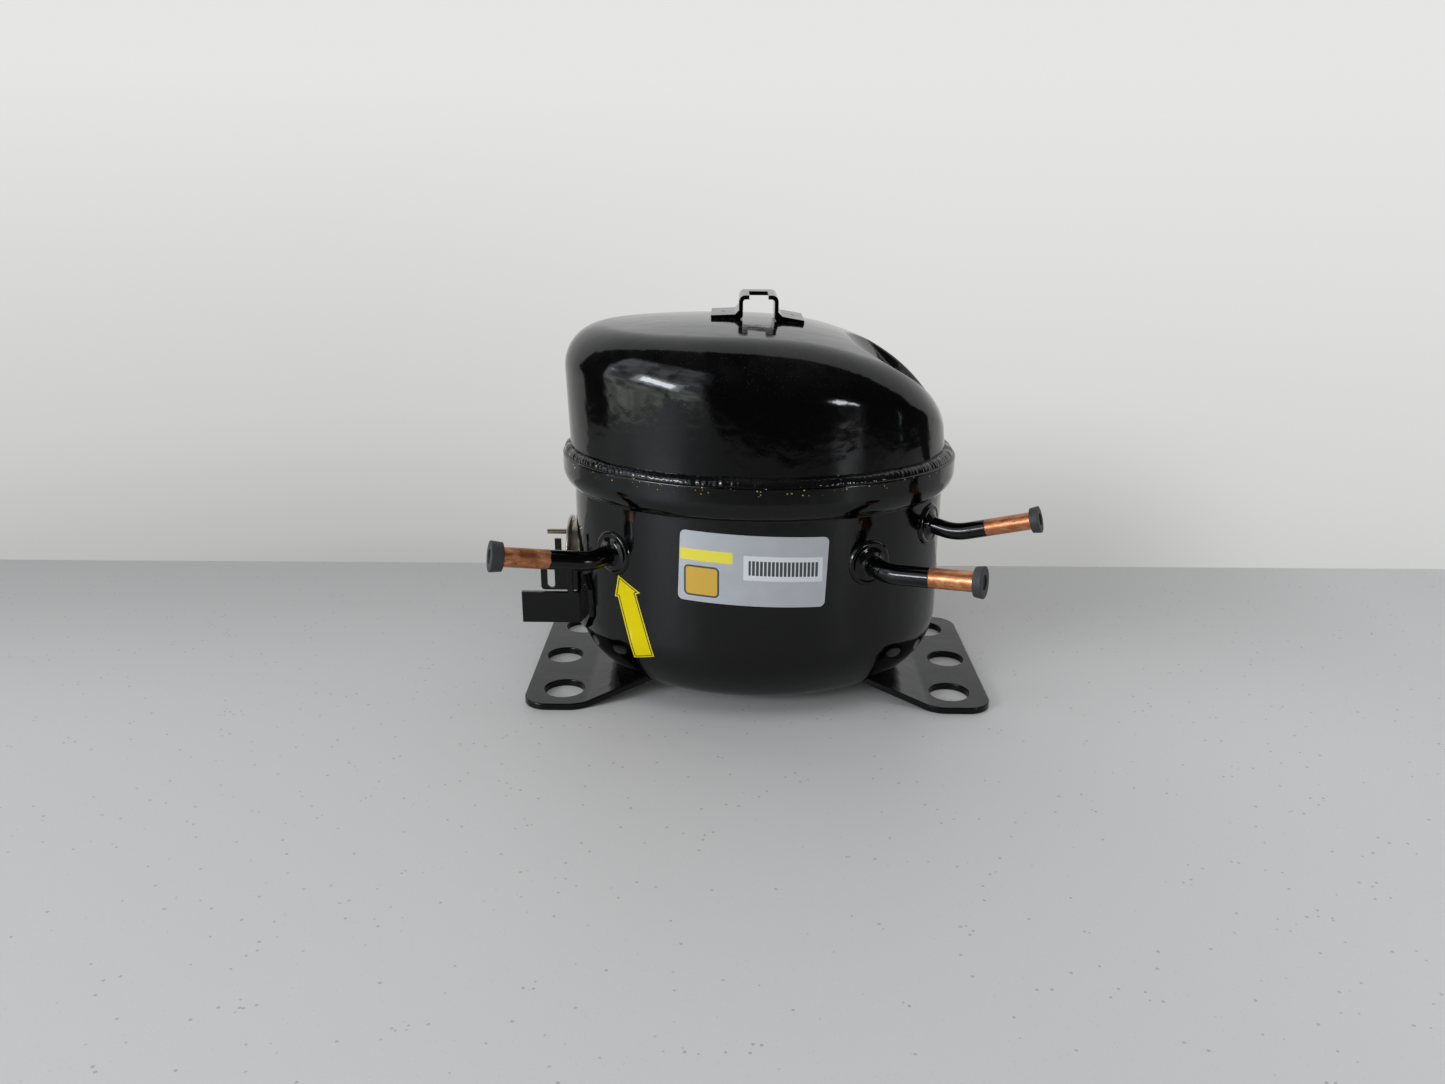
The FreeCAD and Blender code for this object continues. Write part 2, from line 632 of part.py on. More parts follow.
def rotor_rings():
    """Cast end rings with fan blades."""
    rings = []
    for low, high, lug in ((STACK_LOW - 5, STACK_LOW, -3.0), (STACK_HIGH, STACK_HIGH + 5, 3.0)):
        ring = pipe(26.5, 16.0, Vector(0, 0, low), Z, high - low)
        edge = low + lug if lug < 0 else high
        lugs = []
        for k in range(6):
            blade = block(18.5, 25.5, -1.2, 1.2, edge, edge + 3.0)
            blade.rotate(Vector(0, 0, 0), Z, 60 * k)
            lugs.append(blade)
        rings.append(joined([ring] + lugs))
    return rings


# ---- pump ----------------------------------------------------------------------------------
def crankcase():
    """Cast frame: hub, floor, four feet on the stator and the cylinder."""
    floor = joined([
        rounded_block(-47.0, 47.0, -12.0, 12.0, BLOCK_LOW, BLOCK_HIGH, 4),
        rounded_block(-30.0, 30.0, -40.0, 40.0, BLOCK_LOW, BLOCK_HIGH, 8),
    ])
    parts = [floor, rod(HUB_R, Vector(0, 0, HUB_LOW), Z, BLOCK_HIGH - HUB_LOW)]
    for x, y in corner_posts():
        parts.append(rod(6.0, Vector(x, y, STACK_HIGH), Z, BLOCK_HIGH - STACK_HIGH))
        arm = block(0, 22, -5.0, 5.0, BLOCK_LOW, BLOCK_HIGH)
        arm.rotate(Vector(0, 0, 0), Z, math.degrees(math.atan2(-y, -x)))
        arm.translate(Vector(x, y, 0))
        parts.append(arm)
    barrel_length = BORE_START_X - HEAD_FACE_X
    parts.append(rod(17.0, Vector(HEAD_FACE_X, 0, CYL_Z), X, barrel_length))
    parts.append(block(HEAD_FACE_X, BORE_START_X, -14.0, 14.0, BLOCK_LOW, CYL_Z - 6))
    flange = block(HEAD_FACE_X, HEAD_FACE_X + 7, -20.0, 20.0, CYL_Z - 20, CYL_Z + 20)
    flange = flange.makeFillet(4, [e for e in flange.Edges if abs(e.tangentAt(e.FirstParameter).x) > 0.99])
    parts.append(flange)
    parts.append(rod(14.0, Vector(-8.0, 36.0, BLOCK_LOW), Z, BLOCK_HIGH - BLOCK_LOW))
    case = joined(parts)
    case = case.cut(rod(BORE_R, Vector(HEAD_FACE_X - 1, 0, CYL_Z), X, barrel_length + 2))
    case = case.cut(rod(SHAFT_BORE_R, Vector(0, 0, 40), Z, 80))
    case = case.cut([rod(2.0, Vector(x, y, STACK_HIGH - 1), Z, 21.0) for x, y in corner_posts()])
    return case.cut([rod(1.7, Vector(HEAD_FACE_X - 1, y, z), X, 10) for y, z in head_bolt_places()])


def thrust_washer():
    return pipe(11.5, SHAFT_BORE_R + 0.1, Vector(0, 0, BLOCK_HIGH), Z, 0.8)


def crankshaft():
    """Journal, web and pin, with the oil bore up the middle."""
    journal = rod(SHAFT_R, Vector(0, 0, STACK_LOW - 2), Z, WEB_LOW + 2 - STACK_LOW + 0.1)
    web = joined([
        rod(12.0, Vector(0, 0, WEB_LOW), Z, WEB_HIGH - WEB_LOW),
        rod(9.5, Vector(REST_PIN_X, 0, WEB_LOW), Z, WEB_HIGH - WEB_LOW),
    ])
    pin = rod(CRANK_PIN_R, Vector(REST_PIN_X, 0, WEB_LOW), Z, 23.0)
    shaft = joined([journal, web, pin])
    shaft = shaft.cut(rod(4.0, Vector(0, 0, STACK_LOW - 3), Z, 40))
    shaft = shaft.cut(rod(1.5, Vector(2.6, 0, STACK_LOW + 30), Z, 40))
    return shaft.cut(rod(PLUG_R + 0.3, Vector(REST_PIN_X / 2, 0, WEB_HIGH - 2.6), Z, 5))


def counterweight():
    """Half-moon opposite the pin, bolted on the web."""
    disc = rod(19.0, Vector(0, 0, WEB_LOW), Z, WEB_HIGH - WEB_LOW)
    half = disc.common(block(1.0, 30, -30, 30, WEB_LOW, WEB_HIGH))
    return half.cut(rod(12.0, Vector(0, 0, WEB_LOW - 1), Z, 10))


def oil_pump():
    """Pick-up cone pressed in the shaft's lower end."""
    cone = Part.makeCone(2.6, 5.6, 14.0, Vector(0, 0, 13.5), Z)
    neck = rod(4.0, Vector(0, 0, 27.5), Z, 12.0)
    body = joined([cone, rod(5.6, Vector(0, 0, 27.5), Z, 4.5), neck])
    return body.cut(rod(1.6, Vector(0, 0, 10), Z, 40))


def oil_way_plug():
    return rod(PLUG_R, Vector(REST_PIN_X / 2, 0, WEB_HIGH - 2.4), Z, 2.2)


def slider_block():
    body = rod(SLIDER_R, Vector(REST_PIN_X, -SLIDER_HALF, CYL_Z), Y, 2 * SLIDER_HALF)
    return body.cut(rod(CRANK_PIN_R + 0.03, Vector(REST_PIN_X, 0, CYL_Z - 20), Z, 40))


def piston():
    """Piston and the cross tube brazed to it; the slot lets the crank pin in from below."""
    skirt_end = REST_PIN_X - SLIDE_IN_R - 0.2
    skirt = rod(PISTON_R, Vector(CROWN_X, 0, CYL_Z), X, skirt_end - CROWN_X)
    cross = rod(SLIDE_OUT_R, Vector(REST_PIN_X, -SLIDE_HALF, CYL_Z), Y, 2 * SLIDE_HALF)
    body = joined([skirt, cross])
    body = body.cut(rod(SLIDE_IN_R, Vector(REST_PIN_X, -SLIDE_HALF - 1, CYL_Z), Y, 2 * SLIDE_HALF + 2))
    body = body.cut(rod(9.0, Vector(CROWN_X + 5, 0, CYL_Z), X, 14))
    reach = CRANK_R + CRANK_PIN_R + 0.6
    half = CRANK_PIN_R + 0.5
    return body.cut(block(REST_PIN_X - half, REST_PIN_X + half, -reach, reach, CYL_Z - 15, CYL_Z))


def head_bolt_places():
    return [(sy * 15.5, CYL_Z + sz * 15.5) for sy in (-1, 1) for sz in (-1, 1)]


def head_layer(low_x, high_x, holes):
    """Square plate of the cylinder head's stack, with bolt holes and the given (y, z, r) ports."""
    plate = block(low_x, high_x, -20.0, 20.0, CYL_Z - 20, CYL_Z + 20)
    plate = plate.makeFillet(4, [e for e in plate.Edges if abs(e.tangentAt(e.FirstParameter).x) > 0.99])
    cuts = [rod(1.7, Vector(low_x - 1, y, z), X, high_x - low_x + 2) for y, z in head_bolt_places()]
    cuts += [rod(r, Vector(low_x - 1, y, z), X, high_x - low_x + 2) for y, z, r in holes]
    return plate.cut(cuts)


GASKET_X = HEAD_FACE_X - 0.4
PLATE_FACE_X = GASKET_X - 2.6
HEAD_GASKET_X = PLATE_FACE_X - 0.6
HEAD_END_X = HEAD_GASKET_X - 13.0
SUCTION_PORT_Z = CYL_Z + 5.6
DISCHARGE_PORT_Z = CYL_Z - 5.0


def suction_reed():
    """Tongue on the piston side of the valve plate, in the gasket's thickness."""
    x0 = HEAD_FACE_X - 0.30
    leaf = block(x0, x0 + 0.2, -3.2, 3.2, SUCTION_PORT_Z - 3.6, SUCTION_PORT_Z + 3.6)
    stem = block(x0, x0 + 0.2, -2.0, 2.0, SUCTION_PORT_Z - 12.0, SUCTION_PORT_Z - 3.4)
    return joined([leaf, stem])


def valve_plate():
    plate = head_layer(PLATE_FACE_X, GASKET_X, [(0, SUCTION_PORT_Z, 2.4), (0, DISCHARGE_PORT_Z, 1.9)])
    pocket = block(PLATE_FACE_X - 1, PLATE_FACE_X + 1.0, -4.0, 4.0, DISCHARGE_PORT_Z - 12.5, DISCHARGE_PORT_Z + 4.0)
    return plate.cut(pocket)


def discharge_reed():
    """Tongue on the head side, lying in the valve plate's pocket."""
    x0 = PLATE_FACE_X + 0.78
    leaf = block(x0, x0 + 0.2, -3.0, 3.0, DISCHARGE_PORT_Z - 3.0, DISCHARGE_PORT_Z + 3.0)
    stem = block(x0, x0 + 0.2, -1.8, 1.8, DISCHARGE_PORT_Z - 11.5, DISCHARGE_PORT_Z - 2.8)
    return joined([leaf, stem])


def discharge_stop():
    """Bent keeper that limits the reed's lift."""
    x0 = PLATE_FACE_X
    section = [(x0, -9.0), (x0, -12.0), (x0 - 1.0, -12.0), (x0 - 1.0, -8.6), (x0 - 2.2, 3.5), (x0 - 1.2, 3.5)]
    outline = Part.makePolygon([Vector(x, -3.4, DISCHARGE_PORT_Z + z) for x, z in section + section[:1]])
    tongue = Part.Face(outline).extrude(Vector(0, 6.8, 0))
    foot = block(x0 - 1.0, x0, -6.5, 6.5, DISCHARGE_PORT_Z - 12.0, DISCHARGE_PORT_Z - 9.0)
    return joined([tongue, foot])


def cylinder_head():
    """Cast cover with two chambers."""
    head = head_layer(HEAD_END_X, HEAD_GASKET_X, [])
    open_x = HEAD_GASKET_X + 1
    head = head.cut(block(HEAD_END_X + 3, open_x, -11.0, 11.0, CYL_Z + 1.5, CYL_Z + 11.5))
    head = head.cut(block(HEAD_END_X + 3, open_x, -11.0, 11.0, CYL_Z - 18.0, CYL_Z - 0.5))
    return head.cut(rod(3.2, Vector(-60.0, -25, CYL_Z + 7), Y, 16))


def head_gasket():
    gasket = head_layer(HEAD_GASKET_X, PLATE_FACE_X, [])
    gasket = gasket.cut(block(HEAD_GASKET_X - 1, PLATE_FACE_X + 1, -11.0, 11.0, CYL_Z + 1.5, CYL_Z + 11.5))
    return gasket.cut(block(HEAD_GASKET_X - 1, PLATE_FACE_X + 1, -11.0, 11.0, CYL_Z - 18.0, CYL_Z - 0.5))


def head_bolts():
    bolts = []
    for y, z in head_bolt_places():
        head = rod(3.0, Vector(HEAD_END_X - 3.0, y, z), X, 3.0)
        bolts.append(joined([head, rod(1.7, Vector(HEAD_END_X, y, z), X, HEAD_FACE_X + 9 - HEAD_END_X)]))
    return bolts


def suction_muffler():
    """Moulded box beside the cylinder, with its neck in the head."""
    box = rounded_block(-44.0, -14.0, -45.0, -23.0, 103.0, 141.0, 5)
    neck = rod(3.2, Vector(-60.0, -27.0, CYL_Z + 7), Y, 10.0)
    bend = rod(3.2, Vector(-60.0, -27.0, CYL_Z + 7), X, 17.0)
    knee = Part.makeSphere(3.2, Vector(-60.0, -27.0, CYL_Z + 7))
    return joined([box, neck, bend, knee])


def discharge_muffler():
    """Pressed dome on the crankcase floor."""
    body = rod(13.0, Vector(-8.0, 36.0, BLOCK_HIGH), Z, 22.0)
    top = [e for e in body.Edges if e.BoundBox.ZMin > BLOCK_HIGH + 21]
    return body.makeFillet(5.0, top)


LOOP_ROUTE = [
    Vector(5.05, 36.0, 110.0), Vector(32.0, 38.0, 110.0), Vector(56.0, 28.0, 104.0), Vector(61.0, 0.0, 91.0),
    Vector(52.9, -17.2, 79.6), DISCHARGE_ROUTE[0],
]


def shock_loop():
    """Long springy tube from the discharge muffler to the shell."""
    return swept(rounded_path(LOOP_ROUTE, 6.0), 1.6)


def lead_wires():
    """Three insulated leads from the winding to the plug."""
    leads = []
    for y, z in pin_places():
        route = [Vector(-39.2, y, 82.0), Vector(-56.0, y, 82.0), Vector(-56.0, y, z), Vector(-61.9, y, z)]
        leads.append(swept(rounded_path(route, 2.5), 1.1))
    return leads


def main():
    os.makedirs("parts", exist_ok=True)
    bowl = bowl_outside()
    inside = bowl_inside()
    dome = dome_body(0)
    save("lower_shell", lower_shell(bowl, inside))
    save("upper_shell", upper_shell())
    save("seam_weld", seam_weld(dome))
    save("base_plate_left", base_plate(-1, bowl))
    save("base_plate_right", base_plate(1, bowl))
    save("suction_tube", tube(SUCTION_ROUTE, SERVICE_R, SERVICE_BEND_R))
    save("process_tube", tube(PROCESS_ROUTE, SERVICE_R, SERVICE_BEND_R))
    save("discharge_tube", tube(DISCHARGE_ROUTE, DISCHARGE_R, DISCHARGE_BEND_R))
    save("suction_collar", collar(SUCTION_ROUTE, SERVICE_R, bowl, 9.2))
    save("process_collar", collar(PROCESS_ROUTE, SERVICE_R, bowl, 9.2))
    save("discharge_collar", collar(DISCHARGE_ROUTE, DISCHARGE_R, bowl, 8.5))
    save("suction_cap", cap(SUCTION_ROUTE, SERVICE_R, CAP_R, CAP_LEN))
    save("process_cap", cap(PROCESS_ROUTE, SERVICE_R, CAP_R, SHORT_CAP_LEN))
    save("discharge_cap", cap(DISCHARGE_ROUTE, DISCHARGE_R, SMALL_CAP_R, SHORT_CAP_LEN))
    save("terminal_cup", terminal_cup())
    save_group("terminal_beads", terminal_beads())
    save_group("terminal_pins", terminal_pins())
    save("terminal_plug", terminal_plug())
    save("relay_bracket", relay_bracket(bowl))
    save("rating_label", rating_label(bowl))
    save("arrow_label", arrow_label(bowl))
    save("top_bracket", top_bracket(dome))
    save_group("spring_seats_lower", spring_seats_lower(inside))
    save_group("spring_seats_upper", spring_seats_upper())
    save_group("suspension_springs", suspension_springs())
    save("stator_core", stator_core())
    save("winding_lower", winding(STACK_LOW - WINDING_H, STACK_LOW))
    save("winding_upper", winding(STACK_HIGH, STACK_HIGH + WINDING_H))
    save_group("stator_bolts", stator_bolts())
    save("rotor_core", rotor_core())
    save_group("rotor_rings", rotor_rings())
    save("crankcase", crankcase())
    save("thrust_washer", thrust_washer())
    save("crankshaft", crankshaft())
    save("counterweight", counterweight())
    save("oil_pump", oil_pump())
    save("oil_way_plug", oil_way_plug())
    save("slider_block", slider_block())
    save("piston", piston())
    save("cylinder_gasket", head_layer(GASKET_X, HEAD_FACE_X, [(0, CYL_Z, 13.5)]))
    save("suction_reed", suction_reed())
    save("valve_plate", valve_plate())
    save("discharge_reed", discharge_reed())
    save("discharge_stop", discharge_stop())
    save("head_gasket", head_gasket())
    save("cylinder_head", cylinder_head())
    save_group("head_bolts", head_bolts())
    save("suction_muffler", suction_muffler())
    save("discharge_muffler", discharge_muffler())
    save("shock_loop", shock_loop())
    save_group("lead_wires", lead_wires())


main()
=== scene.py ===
import json
import math

import bpy
import numpy as np
from mathutils import Matrix, Vector


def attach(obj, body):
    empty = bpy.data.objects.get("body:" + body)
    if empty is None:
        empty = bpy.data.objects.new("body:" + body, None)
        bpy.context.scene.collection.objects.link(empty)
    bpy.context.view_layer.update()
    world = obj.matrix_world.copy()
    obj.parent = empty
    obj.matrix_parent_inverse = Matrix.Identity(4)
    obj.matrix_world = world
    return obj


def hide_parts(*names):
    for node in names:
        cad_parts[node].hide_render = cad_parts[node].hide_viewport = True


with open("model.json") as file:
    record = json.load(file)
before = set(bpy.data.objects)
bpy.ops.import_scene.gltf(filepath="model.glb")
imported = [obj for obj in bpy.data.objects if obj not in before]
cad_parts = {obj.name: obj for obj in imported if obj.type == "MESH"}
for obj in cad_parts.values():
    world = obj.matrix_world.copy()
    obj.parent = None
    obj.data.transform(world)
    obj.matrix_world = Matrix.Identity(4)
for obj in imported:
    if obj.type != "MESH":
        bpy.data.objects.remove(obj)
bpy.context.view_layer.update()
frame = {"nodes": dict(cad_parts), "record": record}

# Sealed compressor: sloping dome welded in a belled bowl, two stamped feet, copper stubs with rubber caps.
# Metres; +Z up, +X to the discharge stub, -Y to the label.
MM = 0.001

# ---- shell, as the solids have it
BOWL_A = 79.3 * MM
BOWL_B = 62.0 * MM
BOWL_WALL = 2.8 * MM
BOWL_FLOOR = 4.5 * MM
BOWL_EDGE_R = 28.0 * MM
BELL_A = 84.0 * MM
MOUTH_A = 81.0 * MM
CREASE_Z = 87.0 * MM
CREASE_R = 0.8 * MM
BELL_FULL_Z = 95.0 * MM
BELL_TOP_Z = 101.5 * MM
LIP_R = 0.9 * MM
DOME_A = 80.3 * MM
DOME_B = 61.9 * MM
DOME_SKIRT_Z = 95.2 * MM
DOME_CROWN_Z = 170.0 * MM
DOME_DRAFT = 2.7 * MM            # the walls lean in by this up to the crown
DOME_LEAN = -5.5 * MM
DOME_WALL = 2.6 * MM
DOME_END_R = 17.5 * MM           # rounding of the rim at the two ends
DOME_SIDE_R = 24.0 * MM          # and along the front and back
DOME_CURVE = 0.9
DOME_PROFILE = [
    (-110, 152.2), (-90, 153.3), (-70, 154.4), (-45, 155.5), (-20, 156.1), (0, 155.7), (20, 153.7),
    (36, 149.6), (50, 143.9), (60, 137.8), (67, 131.4), (73, 123.8), (78.5, 113.8), (84, 102.0), (90, 90.0),
]
SCOOP_LEFT = Vector((35.5, 0, 149.9)) * MM
SCOOP_RIGHT = Vector((73.0, 0, 121.5)) * MM
SCOOP_R = 95.0 * MM
SCOOP_X = -1.8 * MM
SCOOP_A = 72.5 * MM
SCOOP_B = 46.5 * MM
SCOOP_CORNER_R = 3.0 * MM
SCOOP_LIP_R = 2.5 * MM
BEAD_TOP_Z = 104.4 * MM

# ---- fineness of the shell's meshes
SHELL_COLS = 480
DOME_ROWS = 170
DOME_INNER_ROWS = 44
DOME_MIDDLE = (-2.0 * MM, 0.0, DOME_SKIRT_Z)
SKIN_NEAR = 20 * MM              # the dome's skin lies between these distances from its middle
SKIN_FAR = 110 * MM
SKIN_HALVINGS = 24
DOME_STEPS = 240                 # rough steps up the dome, from which even ones are found
DOME_APEX = math.pi / 2 - 0.004  # the top ring, as an angle up from the middle; a flat cap closes it

# ---- tubes
TUBE_WALL = 0.8 * MM
SERVICE_R = 3.97 * MM
DISCHARGE_R = 3.5 * MM
SUCTION_ROUTE = [(-55.5, -36.0, 67.0), (-68.0, -50.0, 66.0), (-103.5, -62.4, 72.1)]
PROCESS_ROUTE = [(39.9, -44.2, 68.0), (48.9, -62.4, 66.4), (82.3, -79.2, 69.5)]
DISCHARGE_ROUTE = [(62.8, -23.8, 77.9), (80.2, -35.5, 74.9), (109.6, -47.5, 84.4)]
SERVICE_BEND_R = 15.0 * MM
DISCHARGE_BEND_R = 22.0 * MM
SERVICE_COLLAR_R = 9.2 * MM
DISCHARGE_COLLAR_R = 8.5 * MM
BORE_DEPTH = 16 * MM

# ---- stickers
STICKER_T = 0.25 * MM
ARROW_CORNERS = [                # x and z in mm, from the tip round by the right
    (-57.5, 57.8), (-48.1, 52.5), (-49.9, 51.6), (-42.6, 25.6), (-51.3, 22.4), (-57.8, 48.2), (-59.2, 48.0),
]
OUTLINE_NEAR = 0.50 * MM         # the printed line runs between these distances from the arrow's edge
OUTLINE_FAR = 0.92 * MM
LABEL_SLANT = (82.4 - 80.2) / (31.4 + 26.8)
LABEL_Y = -62.0 * MM
YELLOW_BAND = (-31.4, -10.8, 69.9, 74.6, 0.4)     # left, right, bottom, top and corner radius in mm
WHITE_FIELD = (-6.6, 24.5, 62.5, 72.6, 0.5)
BAR_FIELD = (-4.6, 22.6, 64.6, 70.6, 0.2)
AMBER_FIELD = (-29.6, -16.4, 55.6, 67.6, 1.6)
BAR_PITCH = 1.55 * MM

# ---- electrical side
TERMINAL_Y = 1.5 * MM
TERMINAL_Z = 53.8 * MM
TERMINAL_CUT_R = 12.2 * MM       # edge of the wall's hole, inside the cup's own thickness
TERMINAL_CUT_BAND = 0.62 * MM    # points this close to the edge move onto it

Y = Vector((0, 1, 0))
Z = Vector((0, 0, 1))


# ==== mesh building
def placed(name, data):
    """A new object in the scene."""
    thing = bpy.data.objects.new(name, data)
    bpy.context.scene.collection.objects.link(thing)
    return thing


def new_object(name, points, faces, normals=None):
    mesh = bpy.data.meshes.new(name)
    mesh.from_pydata([tuple(p) for p in points], [], faces)
    mesh.validate()
    mesh.shade_smooth()
    if normals is not None:
        mesh.normals_split_custom_set_from_vertices([tuple(n) for n in normals])
    return placed(name, mesh)


def ring_faces(rows, cols, first=0):
    """Quads between closed rings of points, stored ring after ring."""
    faces = []
    for row in range(rows - 1):
        for col in range(cols):
            a = first + row * cols + col
            b = first + row * cols + (col + 1) % cols
            faces.append((a, b, b + cols, a + cols))
    return faces


def turns(count):
    return np.linspace(0, 2 * math.pi, count, endpoint=False)


def oval(turn, a, b, z):
    """Points at turns round an ellipse."""
    return np.stack([a * np.cos(turn), b * np.sin(turn), np.broadcast_to(z, turn.shape)], -1)


def spokes(side, over, count):
    """Unit vectors all round from side toward over."""
    angles = [2 * math.pi * k / count for k in range(count)]
    return [side * math.cos(angle) + over * math.sin(angle) for angle in angles]


def unit(vectors):
    return vectors / np.maximum(np.linalg.norm(vectors, axis=-1, keepdims=True), 1e-12)


def even_noise(seed, count, waves):
    """A closed, seeded ripple of given waves per turn, between -1 and 1."""
    turn = turns(count)
    draw = np.random.default_rng(seed)
    ripple = np.zeros(count)
    for wave in waves:
        ripple += np.sin(turn * wave + draw.uniform(0, 2 * math.pi)) * draw.uniform(0.5, 1.0)
    return ripple / np.abs(ripple).max()


# ==== dome
class Spline:
    """Natural cubic through (x, z) points."""

    def __init__(self, points):
        self.x, self.z = np.array(points, float).T
        step = np.diff(self.x)
        count = len(self.x)
        system = np.eye(count)
        load = np.zeros(count)
        for i in range(1, count - 1):
            system[i, i - 1:i + 2] = step[i - 1], 2 * (step[i - 1] + step[i]), step[i]
            load[i] = 6 * ((self.z[i + 1] - self.z[i]) / step[i] - (self.z[i] - self.z[i - 1]) / step[i - 1])
        self.bend = np.linalg.solve(system, load)

    def at(self, x):
        """Height and slope."""
        i = np.clip(np.searchsorted(self.x, x) - 1, 0, len(self.x) - 2)
        step = self.x[i + 1] - self.x[i]
        right = (np.clip(x, self.x[0], self.x[-1]) - self.x[i]) / step
        left = 1 - right
        height = left * self.z[i] + right * self.z[i + 1]
        bent = (left ** 3 - left) * self.bend[i] + (right ** 3 - right) * self.bend[i + 1]
        height += bent * step ** 2 / 6
        slope = (self.z[i + 1] - self.z[i]) / step
        slope += ((3 * right ** 2 - 1) * self.bend[i + 1] - (3 * left ** 2 - 1) * self.bend[i]) * step / 6
        return height, slope


crown = Spline([(x * MM, z * MM) for x, z in DOME_PROFILE])


def rounded_both(one, two, r):
    """What is inside two solids, the edge between them rounded; a solid is its distance and unit normal."""
    (a, a_normal), (b, b_normal) = one, two
    lean = (a_normal * b_normal).sum(-1)
    over_a = a + r - lean * (b + r)
    over_b = b + r - lean * (a + r)
    on_round = (over_a > 0) & (over_b > 0)
    reach = a_normal * over_a[..., None] + b_normal * over_b[..., None]
    reach /= np.maximum(1 - lean ** 2, 1e-6)[..., None]
    distance = np.where(on_round, np.linalg.norm(reach, axis=-1) - r, np.maximum(a, b))
    normal = np.where((a > b)[..., None], a_normal, b_normal)
    return distance, np.where(on_round[..., None], unit(reach), normal)


def oval_column(p, lean, draft, a, b):
    """Leaning elliptical column; draft is how fast its walls close in."""
    x, y = p[..., 0] - lean * p[..., 2], p[..., 1]
    level = np.hypot(x / a, y / b)
    out = np.stack([x / a ** 2, y / b ** 2], -1) / np.maximum(level, 1e-9)[..., None]
    steepness = np.maximum(np.linalg.norm(out, axis=-1), 1e-6)
    out = out / steepness[..., None]
    return (level - 1) / steepness, unit(np.concatenate([out, (draft - lean * out[..., :1])], -1))


def scoop_centre():
    half = (SCOOP_RIGHT - SCOOP_LEFT).length / 2
    upward = (SCOOP_RIGHT - SCOOP_LEFT).cross(Y).normalized()
    return np.array((SCOOP_LEFT + SCOOP_RIGHT) / 2 + upward * math.sqrt(SCOOP_R ** 2 - half ** 2))


def dome_solid(p, inset):
    """Distance, below zero inside the dome, and the outward normal."""
    x, y, z = p[..., 0], p[..., 1], p[..., 2]
    height = DOME_CROWN_Z - DOME_SKIRT_Z
    above_skirt = p - np.array((0, 0, DOME_SKIRT_Z))
    draft = DOME_DRAFT / height
    narrowing = draft * above_skirt[..., 2] + inset
    side = oval_column(above_skirt, DOME_LEAN / height, draft, DOME_A - narrowing, DOME_B - narrowing)
    crown_z, slope = crown.at(x)
    uphill = np.stack([-slope, 2 * y / DOME_CURVE, np.ones(x.shape)], -1)
    top = (z - crown_z + y ** 2 / DOME_CURVE) / np.linalg.norm(uphill, axis=-1) + inset, unit(uphill)
    sideways = (y / DOME_B) ** 2 / np.maximum((x / DOME_A) ** 2 + (y / DOME_B) ** 2, 1e-9)
    shell = rounded_both(side, top, DOME_END_R + (DOME_SIDE_R - DOME_END_R) * sideways ** 2 - inset)
    from_centre = p - scoop_centre()
    far = np.linalg.norm(from_centre, axis=-1)
    ball = far - SCOOP_R - inset, from_centre / far[..., None]
    column = oval_column(p - np.array((SCOOP_X, 0, 0)), 0, 0, SCOOP_A + inset, SCOOP_B + inset)
    scoop, scoop_normal = rounded_both(ball, column, SCOOP_CORNER_R + inset)
    return rounded_both(shell, (-scoop, -scoop_normal), SCOOP_LIP_R)


def dome_skin(inset, rows, cols):
    """Points of the dome's surface, ring after ring from the skirt up, and their outward normals."""
    middle = np.array(DOME_MIDDLE)
    turn = turns(cols)

    def shoot(lift):
        across = np.cos(lift)
        ways = np.stack([across * np.cos(turn), across * np.sin(turn), np.sin(lift)], -1)
        near = np.full(lift.shape, SKIN_NEAR)
        far = np.full(lift.shape, SKIN_FAR)
        for _ in range(SKIN_HALVINGS):
            half = (near + far) / 2
            inside = dome_solid(middle + ways * half[..., None], inset)[0] < 0
            near = np.where(inside, half, near)
            far = np.where(inside, far, half)
        return middle + ways * near[..., None]

    coarse = np.repeat(np.linspace(0, DOME_APEX, DOME_STEPS)[:, None], cols, 1)
    walked = np.zeros(coarse.shape)
    walked[1:] = np.cumsum(np.linalg.norm(np.diff(shoot(coarse), axis=0), axis=-1), 0)
    lift = np.empty((rows, cols))
    for col in range(cols):
        lift[:, col] = np.interp(np.linspace(0, walked[-1, col], rows), walked[:, col], coarse[:, col])
    points = shoot(lift)
    return points.reshape(-1, 3), dome_solid(points, inset)[1].reshape(-1, 3)


def dome():
    cols, outer_rows, inner_rows = SHELL_COLS, DOME_ROWS, DOME_INNER_ROWS
    outer, outer_normals = dome_skin(0, outer_rows, cols)
    inner, inner_normals = dome_skin(DOME_WALL, inner_rows, cols)
    faces = ring_faces(outer_rows, cols)
    faces.append(tuple(range((outer_rows - 1) * cols, outer_rows * cols)))
    first = outer_rows * cols
    faces += [face[::-1] for face in ring_faces(inner_rows, cols, first)]
    faces.append(tuple(range(first + (inner_rows - 1) * cols, first + inner_rows * cols))[::-1])
    for col in range(cols):
        after = (col + 1) % cols
        faces.append((after, col, first + col, first + after))
    piece = new_object("dome", np.vstack([outer, inner]), faces, np.vstack([outer_normals, -inner_normals]))
    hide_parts("upper_shell")
    return carried(piece, "shell", paint)


# ==== bowl
def arc(centre, r, start, end, steps, outward=1):
    """Section points on an arc as (radius, z, normal radius, normal z); angles in degrees."""
    rows = []
    for angle in np.radians(np.linspace(start, end, steps)):
        c, s = math.cos(angle), math.sin(angle)
        rows.append((centre[0] + r * c, centre[1] + r * s, outward * c, outward * s))
    return rows


def line(start, end, normal, steps):
    return [(start[0] + (end[0] - start[0]) * t, start[1] + (end[1] - start[1]) * t, *normal)
            for t in np.linspace(0, 1, steps)]


